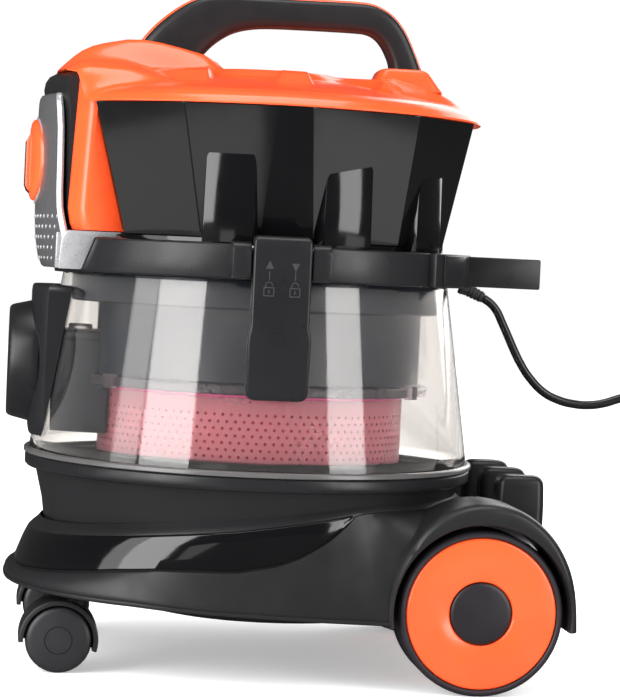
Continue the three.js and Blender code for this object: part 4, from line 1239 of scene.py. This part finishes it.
def make_skirt():
    edges = FACETS + [(180 - a, 180 - b) for a, b in reversed(FACETS)]
    rings = []
    for grow_low, grow_high, at_top in ((0, 0, 0), (0.2, 0.2, 1), (-3.5, -3.5, 1), (-3.5, -3.5, 0)):
        z = SKIRT_HIGH_Z if at_top else SKIRT_LOW_Z
        r = (SKIRT_HIGH_R + grow_high) if at_top else (SKIRT_LOW_R + grow_low)
        rings.append([skirt_point(pair[0] if at_top else pair[1], r, z) for pair in edges])
    sections = [[ring[i] for ring in rings] for i in range(len(edges))]
    piece(
        "skirt_faces", loft(sections), gloss, "head", ("head_skirt",), bevel=0.6,
        sharp=6
    )
    blocks = []
    for start, end, top in BLOCKS:
        middle = (start + end) / 2
        spread = SKIRT_HIGH_R - SKIRT_LOW_R
        reach = SKIRT_LOW_R + spread * (top - SKIRT_LOW_Z) / (SKIRT_HIGH_Z - SKIRT_LOW_Z)
        reach *= math.cos(math.radians(facet_offset(middle)))
        half = reach * math.tan(math.radians((end - start) / 2))
        outline = [(-half - 1, 327), (half + 1, 327), (half, top), (-half, top)]
        shape = prism(outline, -reach, -reach + 26)
        blocks.append(spun(shape, middle))
    both = merged(*blocks, *(mirrored(b) for b in blocks))
    piece("skirt_blocks", both, gloss, "head", bevel=2.2, sharp=40)
    returns = []
    for side, _ in SIDES:
        rings = []
        for z, degrees, r in (
            (SKIRT_LOW_Z, FACETS[0][1], SKIRT_LOW_R), (SKIRT_HIGH_Z, FACETS[0][0], SKIRT_HIGH_R)
        ):
            far = skirt_point(degrees, r, z)
            x = cheek_rear(z) + 0.6
            rings.append([(x, -85.6, z), far, (far[0] + 4, far[1] + 1, z), (x + 4, -85.6, z)])
        returns.append(on_side(loft(rings), side))
    piece("skirt_returns", merged(*returns), gloss, "head", bevel=0.5)


def facet_offset(degrees):
    """How far round a direction is from the middle of its flat face."""
    for (a, _), (b, _) in zip(FACETS, FACETS[1:] + [(114.8, 0)]):
        if a <= degrees <= b:
            return abs(b - a) / 2
    return 0


def make_neck():
    profile = [
        (10, 321), (155.6, 321), (155.6, 327.4), (154, 328), (147, 328), (146.4, 328.8), (146.4, 331.6),
        (138, 331.6)
    ]
    profile += [
        (138, 328), (68, 328), (68, 355.6), (10, 355.6), (10, 352), (58, 352), (58, 328), (10, 328),
        (10, 321)
    ]
    neck = new_object("deck_neck", lathe(profile, 128))
    carve(neck, [block(-200, -112, -88, 88, 300, 340)])
    finish(neck, gloss, "head", ("motor_deck",), sharp=40)


make_skirt()
make_neck()

# Heights of the cover's ridge along X, and of its dome across the machine.
RIDGE = [
    (-172, 446), (-166, 455), (-163, 459), (-158, 464), (-152, 469.5), (-146, 474), (-138, 478),
    (-130, 480.5)
]
RIDGE += [
    (-112, 484.4), (-99, 485), (-85, 483.4), (-68, 480), (-51, 476), (-40, 470), (-34, 464), (0, 463),
    (84, 464)
]
RIDGE += [(100, 468), (126, 462), (147, 452), (160, 444), (168, 438), (174, 431.5)]
DOME = [
    (0, 464.5), (56, 464), (60, 461.5), (66, 457.5), (84, 455), (100, 452.6), (120, 449.6), (140, 446),
    (158, 442)
]
DOME += [(166, 439), (171, 435.6), (174, 431.5)]
RIB_TOP = [(0, 464.5), (60, 464.2), (96, 461.4), (104, 459), (110, 455.6), (122, 449), (174, 431)]
FRONT_X = -165
COVER_R = 174
COVER_FOOT = 430.3
CHEEK_INNER = 69.9


def cover_height(x, y):
    """Height of the orange cover's outer face."""
    r = math.hypot(x, y)
    wide = abs(y)
    dome = between(DOME, r)
    if x < -60:
        side = 465 - 2 * ease(wide, 30, 66) - 7 * ease(wide, 66, 90)
        nose = side - 9 * ease(-x, 142, 167)
        dome = dome + (max(nose, dome) - dome) * ease(-x, 60, 118) * (1 - ease(wide, 84, 98))
    flank = 1 - ease(wide, 17, 41)
    ridge = between(RIDGE, x)
    height = dome + max(ridge - dome, 0) * flank
    return max(height, dome + rib_mask(x, wide) * max(between(RIB_TOP, r) - dome, 0))


def rib_mask(x, wide):
    """Where the cover's three ribs on each side stand up from the dome."""
    lean = max(wide - 60, 0) * 0.14
    ribs = ((-200, -47 - lean), (5 - lean, 25), (84 + lean * 2, 105 + lean * 2))
    return max(ease(x, x0 - 2, x0 + 3) * (1 - ease(x, x1 - 3, x1 + 2)) for x0, x1 in ribs)


def cover_edge(turn):
    """Distance from the axis to the cover's edge: round, and cut straight across the front."""
    c = math.cos(turn)
    return min(COVER_R, FRONT_X / c) if c < -0.5 else COVER_R


def make_cover():
    around, across = 360, 100
    turns = [TAU * i / around for i in range(around)]
    shares = [(k / across) ** 0.85 for k in range(1, across + 1)]
    rings = []
    for share in shares:
        ring = []
        for turn in turns:
            r = cover_edge(turn) * share
            x, y = r * math.cos(turn), r * math.sin(turn)
            ring.append((x, y, cover_height(x, y)))
        rings.append(ring)
    under = []
    for drop, inset in ((1.2, 0.3), (None, 0.8), (None, 6)):
        ring = []
        for turn, (x, y, z) in zip(turns, rings[across - 1]):
            scale = 1 - inset / math.hypot(x, y)
            low = 454.8 if x < -149 else COVER_FOOT
            ring.append((x * scale, y * scale, z - drop if drop else min(low, z - 1)))
        under.append(ring)
    centre_top, centre_low = (0, 0, cover_height(0, 0)), (0, 0, COVER_FOOT)
    rings = rings + under + [[(x * 0.1, y * 0.1, COVER_FOOT) for x, y, _ in rings[across - 1]]]
    points, faces = loft(rings, caps=False)
    last = (len(rings) - 1) * around
    points += [centre_top, centre_low]
    for i in range(around):
        j = (i + 1) % around
        faces.append((len(points) - 2, i, j))
        faces.append((len(points) - 1, last + j, last + i))
    shell = new_object("cover_shell", (points, faces))
    carve(shell, [block(-220, -119.7, -CHEEK_INNER, CHEEK_INNER, 300, 455.4)])
    finish(shell, orange, "head", ("top_cover",), sharp=42)
    piece(
        "cover_cheeks", merged(*(on_side(cheek(), side) for side, _ in SIDES)), orange, "head",
        sharp=50
    )
    foot = []
    for z, front, rear, half in (
        (456, 83, 141, 25), (464, 87, 135, 23.5), (471, 90, 130, 22), (473, 92, 127, 20.5),
        (473.4, 94, 125, 19)
    ):
        foot.append([(a, b, z) for a, b in rounded(front, rear, -half, half, 7, 6)])
    piece("cover_collar", loft(foot), orange, "head", sharp=50)


CHEEK_FRONT = [(333.4, -149.5), (341, -153), (350, -153.6), (396, -151.4), (448, -148.6), (454, -148.4)]


def cheek():
    """One side of the cover, running down beside the control panel."""
    rings = []
    for z in (333.4, 334.6, 338, 350, 370, 396, 420, 430, 436, 442, 448, 453):
        front = between(CHEEK_FRONT, z)
        rear = cheek_rear(z) if z < 432 else cheek_rear(432)
        lean = 0.4 if z < 335 else 0
        fold = 86.4 - 5 * ease(z, 440, 456)
        rings.append(
            [
                (front, -CHEEK_INNER, z),
                (front - 0.2, -72, z),
                (front + 1.4, -75, z),
                (front + 5, -80, z),
                (front + 8.6, -84.4 + 4 * ease(z, 440, 456), z),
                (front + 11.5, -fold + lean, z),
                (front + 15, -fold + lean, z),
                (rear - 1.5, -86 + lean, z),
                (rear, -84.6, z),
                (rear, -CHEEK_INNER, z),
            ]
        )
    return loft(rings)


def panel_x(y, centre):
    """The control panel's rounded front, seen in plan."""
    return centre + 16 * (abs(y) / 66) ** 1.6


def curved_slab(levels, thick, steps=28):
    """A slab whose front follows the panel's curve: [z, centre, half width] from the bottom up."""
    rings = []
    for z, centre, half in levels:
        ys = [half * (-1 + 2 * i / steps) for i in range(steps + 1)]
        front = [(panel_x(y, centre), y, z) for y in ys]
        back = [(panel_x(y, centre) + thick, y * 0.985, z) for y in reversed(ys)]
        rings.append(front + back)
    return loft(rings)


PANEL = [
    (303.6, -169, 73), (305, -171, 74.2), (313, -174.2, 75), (326, -176.4, 75), (333, -177, 73.4),
    (340, -177.4, 70.4)
]
PANEL += [
    (350, -177.8, 68), (362, -178, 66.8), (387, -178, 66), (410, -178, 64.6), (424, -178, 62),
    (431, -177.8, 59.4)
]
PANEL += [(435, -177.2, 56.6), (437.4, -175.8, 53.8), (438.2, -173.6, 51)]


def make_panel():
    piece(
        "panel_face", curved_slab(PANEL, 4), panel_grey, "head", ("front_panel",),
        sharp=50
    )
    shell = [
        (300.5, -160, 69), (333, -166, 69.4), (345, -170, 69.5), (380, -171, 69.5), (425, -172, 69.5),
        (436, -173.4, 69.4)
    ]
    shell += [(442, -174.4, 69), (448, -173.4, 68.6), (452.4, -170.6, 68.2), (455, -166, 67.6)]
    rings = []
    for z, centre, half in shell:
        ys = [half * (-1 + 2 * i / 28) for i in range(29)]
        rings.append([(panel_x(y, centre), y, z) for y in ys] + [(-124, half, z), (-124, -half, z)])
    piece(
        "control_shell", loft(rings), satin, "head", ("control_housing",), sharp=45
    )
    for side, name in SIDES:
        edge = []
        for z, centre, half in PANEL[2:]:
            wide = 1.3 if z > 345 else 2.0
            y0, y1 = half - 0.6, half + wide
            x0 = panel_x(y0, centre) - 0.9
            x1 = panel_x(y0, centre) + 1.2 + wide * 0.9
            edge.append(
                [
                    (x0, -y0, z), (x0 + 1.0, -y0 - wide * 0.5, z), (x1, -y1, z), (x1 + 1.6, -y1 + 1, z),
                    (x0 + 2.6, -y0 + 0.4, z)
                ]
            )
        piece(
            f"panel_edge_{name}", on_side(loft(edge), side), silver, "head", sharp=50
        )
    dots = []
    for row in range(5):
        for column in range(-7, 8):
            y = (column + 0.5 * (row % 2)) * 9.4
            z = 311 + row * 8
            if abs(y) < 68:
                dots.append(dimple(y, z))
    piece("panel_dimples", merged(*dots), silver, "head", sharp=80)


def dimple(y, z):
    """A small bright oval stud on the panel."""
    centre = between([(p[0], p[1]) for p in PANEL], z)
    x = panel_x(y, centre)
    rings = []
    for out, size in ((-0.3, 1.5), (0.35, 1.25), (0.6, 0.6)):
        rings.append(
            [
                (x - out, y + size * math.cos(TAU * i / 10), z + 1.25 * size * math.sin(TAU * i / 10))
                for i in range(10)
            ]
        )
    return loft(rings)


def make_trim():
    outline = [
        (-160, 303.4), (-142, 303.4), (-132.6, 328.3), (-113, 328.3), (-113, 332.7), (-154, 332.7),
        (-158, 326)
    ]
    limbs = [on_side(prism(outline, -87, -74), side) for side, _ in SIDES]
    bar = block(-161.6, -154.6, -74, 74, 303.6, 331)
    piece(
        "trim_limbs", merged(*limbs, bar), silver, "head", ("panel_trim",), bevel=0.9
    )
    ends = []
    for side, _ in SIDES:
        ends.append(on_side(block(-112.8, -105, -88, -76, 326.6, 333.2), side))
        ends += [
            on_side(block(-112 + i * 2, -111.2 + i * 2, -88.6, -87, 327, 333), side)
            for i in range(4)
        ]
    piece("trim_ends", merged(*ends), satin_smooth, "head")


KNOB_Z = 387
KNOB_R = 32
KNOB_BEND = 7
PANEL_FRONT = -178


def knob_bend(y):
    """How far back the knob's edge bends, like the panel round it."""
    return KNOB_BEND * (abs(y) / KNOB_R) ** 2


def make_knob():
    rings = []
    for out, r in ((-1.6, KNOB_R), (1.6, KNOB_R), (3.4, 31), (4.8, 28.4), (5.6, 24), (6, 12), (6.1, 3)):
        ring = []
        for i in range(72):
            y, z = r * math.cos(TAU * i / 72), r * math.sin(TAU * i / 72)
            ring.append((PANEL_FRONT - out + knob_bend(y), y, KNOB_Z + z))
        rings.append(ring)
    piece("knob_plate", loft(rings), orange, "knob", ("power_knob",), sharp=50)
    side_view = [(-178, 357), (-185, 364), (-186.4, 367), (-186.4, 402), (-185.4, 404.4), (-178, 417)]
    fin = prism(side_view, -7, 7)
    piece("knob_fin", fin, orange, "knob", bevel=1.2)
    # Painted shade: a thin gloss-black strip along the fin's front edge stands in for the fin's far side
    # in shadow.
    shade_strip_view = [
        (-178, 355.6), (-185.6, 363), (-187.2, 367), (-187.2, 401), (-186.4, 402), (-186, 367.4),
        (-184.8, 364.4), (-178, 358)
    ]
    piece("knob_painted_shade_strip", prism(shade_strip_view, -6, 6), gloss, "knob", bevel=0.3)
    rim = [(32.6, 176), (34, 176), (34.4, 177), (34, 178.6), (33, 179), (32.6, 178), (32.6, 176)]
    points, faces = front_lathe(rim, 96, KNOB_Z)
    bent = [(x + knob_bend(y), y, z) for x, y, z in points]
    piece("knob_seat", (bent, faces), silver, "head", sharp=50)


make_cover()
make_panel()
make_trim()
make_knob()

# ---------- carrying handle ----------

HANDLE_OUTER = [
    (-105.6, 467), (-102, 477), (-98, 486), (-87, 499), (-72, 511.5), (-57, 520), (-40, 523.4),
    (-10, 523.8)
]
HANDLE_OUTER += [
    (30, 524), (75, 524), (90, 520.6), (101, 513.6), (109, 504), (114, 495), (120, 482), (126.4, 467)
]
HANDLE_INNER = [
    (-57.6, 467), (-54, 472), (-50, 477), (-43, 484.6), (-35, 491), (-26, 496), (-15, 499.2), (0, 501)
]
HANDLE_INNER += [
    (30, 501.6), (70, 501.6), (81, 500.6), (88, 497), (93, 491.4), (96.6, 485), (99.4, 478), (101, 467)
]


def spaced(outline, count):
    """Points at equal steps along an outline."""
    fine = smooth(outline, 12)
    lengths = [0]
    for (x0, z0), (x1, z1) in zip(fine, fine[1:]):
        lengths.append(lengths[-1] + math.hypot(x1 - x0, z1 - z0))
    xs = list(zip(lengths, (p[0] for p in fine)))
    zs = list(zip(lengths, (p[1] for p in fine)))
    return [
        (between(xs, lengths[-1] * i / count), between(zs, lengths[-1] * i / count))
        for i in range(count + 1)
    ]


def make_handle():
    count = 90
    outer, inner = spaced(HANDLE_OUTER, count), spaced(HANDLE_INNER, count)
    cut = [
        (0.0, 8), (0.02, 10.6), (0.09, 13.4), (0.2, 14.7), (0.34, 15), (0.66, 15), (0.84, 14.6),
        (0.94, 13.2), (0.985, 11), (1.0, 9.2)
    ]
    loop = [(s, -w) for s, w in cut] + [(s, w) for s, w in reversed(cut)]
    grip, strip = [], []
    for i, ((xo, zo), (xi, zi)) in enumerate(zip(outer, inner)):
        grip.append([(xi + (xo - xi) * s, w, zi + (zo - zi) * s) for s, w in loop])
        away = Vector((xo - xi, zo - zi)).normalized()
        if 2 <= i <= count - 2:
            ring = []
            for out, w in (
                (-3, -9.6), (0.6, -10), (1.6, -9.2), (2.4, -7), (2.4, 7), (1.6, 9.2), (0.6, 10),
                (-3, 9.6)
            ):
                ring.append((xo + away.x * (out - 0.9), w, zo + away.y * (out - 0.9) + 0.05))
            strip.append(ring)
    piece("grip_body", loft(grip), satin, "head", ("handle_grip",), sharp=50)
    piece("grip_strip", loft(strip), orange, "head", ("handle_strip",), sharp=60)


make_handle()

# ---------- hidden CAD pieces ----------

SLOT_MATERIALS = {
    "steel": steel,
    "tyre_rubber": seal_rubber,
    "pale_plastic": pale_plastic,
    "light_metal": steel,
    "satin_black": satin,
}


def dress_frame():
    """Gives every CAD node that still shows the finish of its slot."""
    slots = {part["node"]: part["material_slot"] for part in frame["record"]["subparts"]}
    for name, node in frame["nodes"].items():
        material = SLOT_MATERIALS.get(slots[name], satin)
        node.data.materials.clear()
        node.data.materials.append(material)


dress_frame()

# ---------- floor, light and world ----------


def reflected(tree):
    """One for reflected rays, zero for those seen directly or through clear plastic."""
    path = tree.nodes.new("ShaderNodeLightPath")
    mirror_only = tree.nodes.new("ShaderNodeMath")
    mirror_only.operation = "SUBTRACT"
    mirror_only.use_clamp = True
    tree.links.new(path.outputs["Is Glossy Ray"], mirror_only.inputs[0])
    tree.links.new(path.outputs["Is Transmission Ray"], mirror_only.inputs[1])
    return mirror_only.outputs[0]


def make_floor():
    mesh = bpy.data.meshes.new("floor")
    half = 6
    mesh.from_pydata(
        [(-half, -half, 0), (half, -half, 0), (half, half, 0), (-half, half, 0)], [], [(0, 1, 2, 3)]
    )
    floor = bpy.data.objects.new("floor", mesh)
    bpy.context.scene.collection.objects.link(floor)
    material, tree, shader = new_material("floor")
    shader.inputs["Roughness"].default_value = 0.7
    shader.inputs["Specular IOR Level"].default_value = 0.05
    mirror_only = reflected(tree)
    seen = mixed(tree, mirror_only, (0.97, 0.97, 0.97), (0.05, 0.05, 0.05))
    tree.links.new(
        mixed(tree, remap(tree, noise(tree, 3), 0, 0.02), seen, (0.9, 0.9, 0.9)),
        shader.inputs["Base Color"]
    )
    lift = mixed(tree, mirror_only, (0.5, 0.5, 0.5), (0, 0, 0))
    tree.links.new(lift, shader.inputs["Emission Color"])
    shader.inputs["Emission Strength"].default_value = 0.7
    mesh.materials.append(material)


def add_light(name, place, target, size, power):
    data = bpy.data.lights.new(name, "AREA")
    data.shape = "RECTANGLE"
    data.size, data.size_y = size
    data.energy = power
    light = bpy.data.objects.new(name, data)
    bpy.context.scene.collection.objects.link(light)
    light.location = place
    light.rotation_euler = (Vector(target) - Vector(place)).to_track_quat("-Z", "Y").to_euler()


def make_world():
    """White behind the object, and a dim room in its reflections, so that black stays black."""
    world = bpy.data.worlds.new("studio")
    bpy.context.scene.world = world
    world.use_nodes = True
    tree = world.node_tree
    background = tree.nodes["Background"]
    background.inputs["Color"].default_value = (1, 1, 1, 1)
    strength = tree.nodes.new("ShaderNodeMapRange")
    strength.inputs["To Min"].default_value = 1.02
    strength.inputs["To Max"].default_value = 0.07
    tree.links.new(reflected(tree), strength.inputs["Value"])
    tree.links.new(strength.outputs["Result"], background.inputs["Strength"])


make_floor()
make_world()
middle = (-0.02, 0, 0.26)
# Each softbox: turn from the camera to the left in degrees, distance, height,
# width and height of its face, and power.
SOFTBOXES = {
    "left": (42, 1.6, 0.75, 0.8, 1.5, 27),
    "left_edge": (64, 1.6, 0.75, 0.45, 1.5, 7),
    "low_right": (-54, 0.85, 0.03, 0.26, 0.3, 0.3),
    "low_left": (17, 0.95, 0.03, 0.2, 0.2, 0.14),
    "low_nose": (66, 0.85, 0.03, 0.3, 0.3, 0.26),
    "right": (-50, 1.6, 0.7, 0.6, 1.4, 15),
    "rear": (-150, 2.0, 1.0, 1.4, 1.4, 16),
}
for name, (turn, distance, height, wide, tall, power) in SOFTBOXES.items():
    angle = math.radians(turn) - CAMERA_AZIMUTH
    place = (-math.sin(angle) * distance, -math.cos(angle) * distance, height)
    add_light(f"softbox_{name}", place, middle, (wide, tall), power)
add_light("softbox_top", (0, -0.2, 1.9), middle, (1.3, 0.9), 15)
bpy.context.scene.view_settings.view_transform = "Standard"
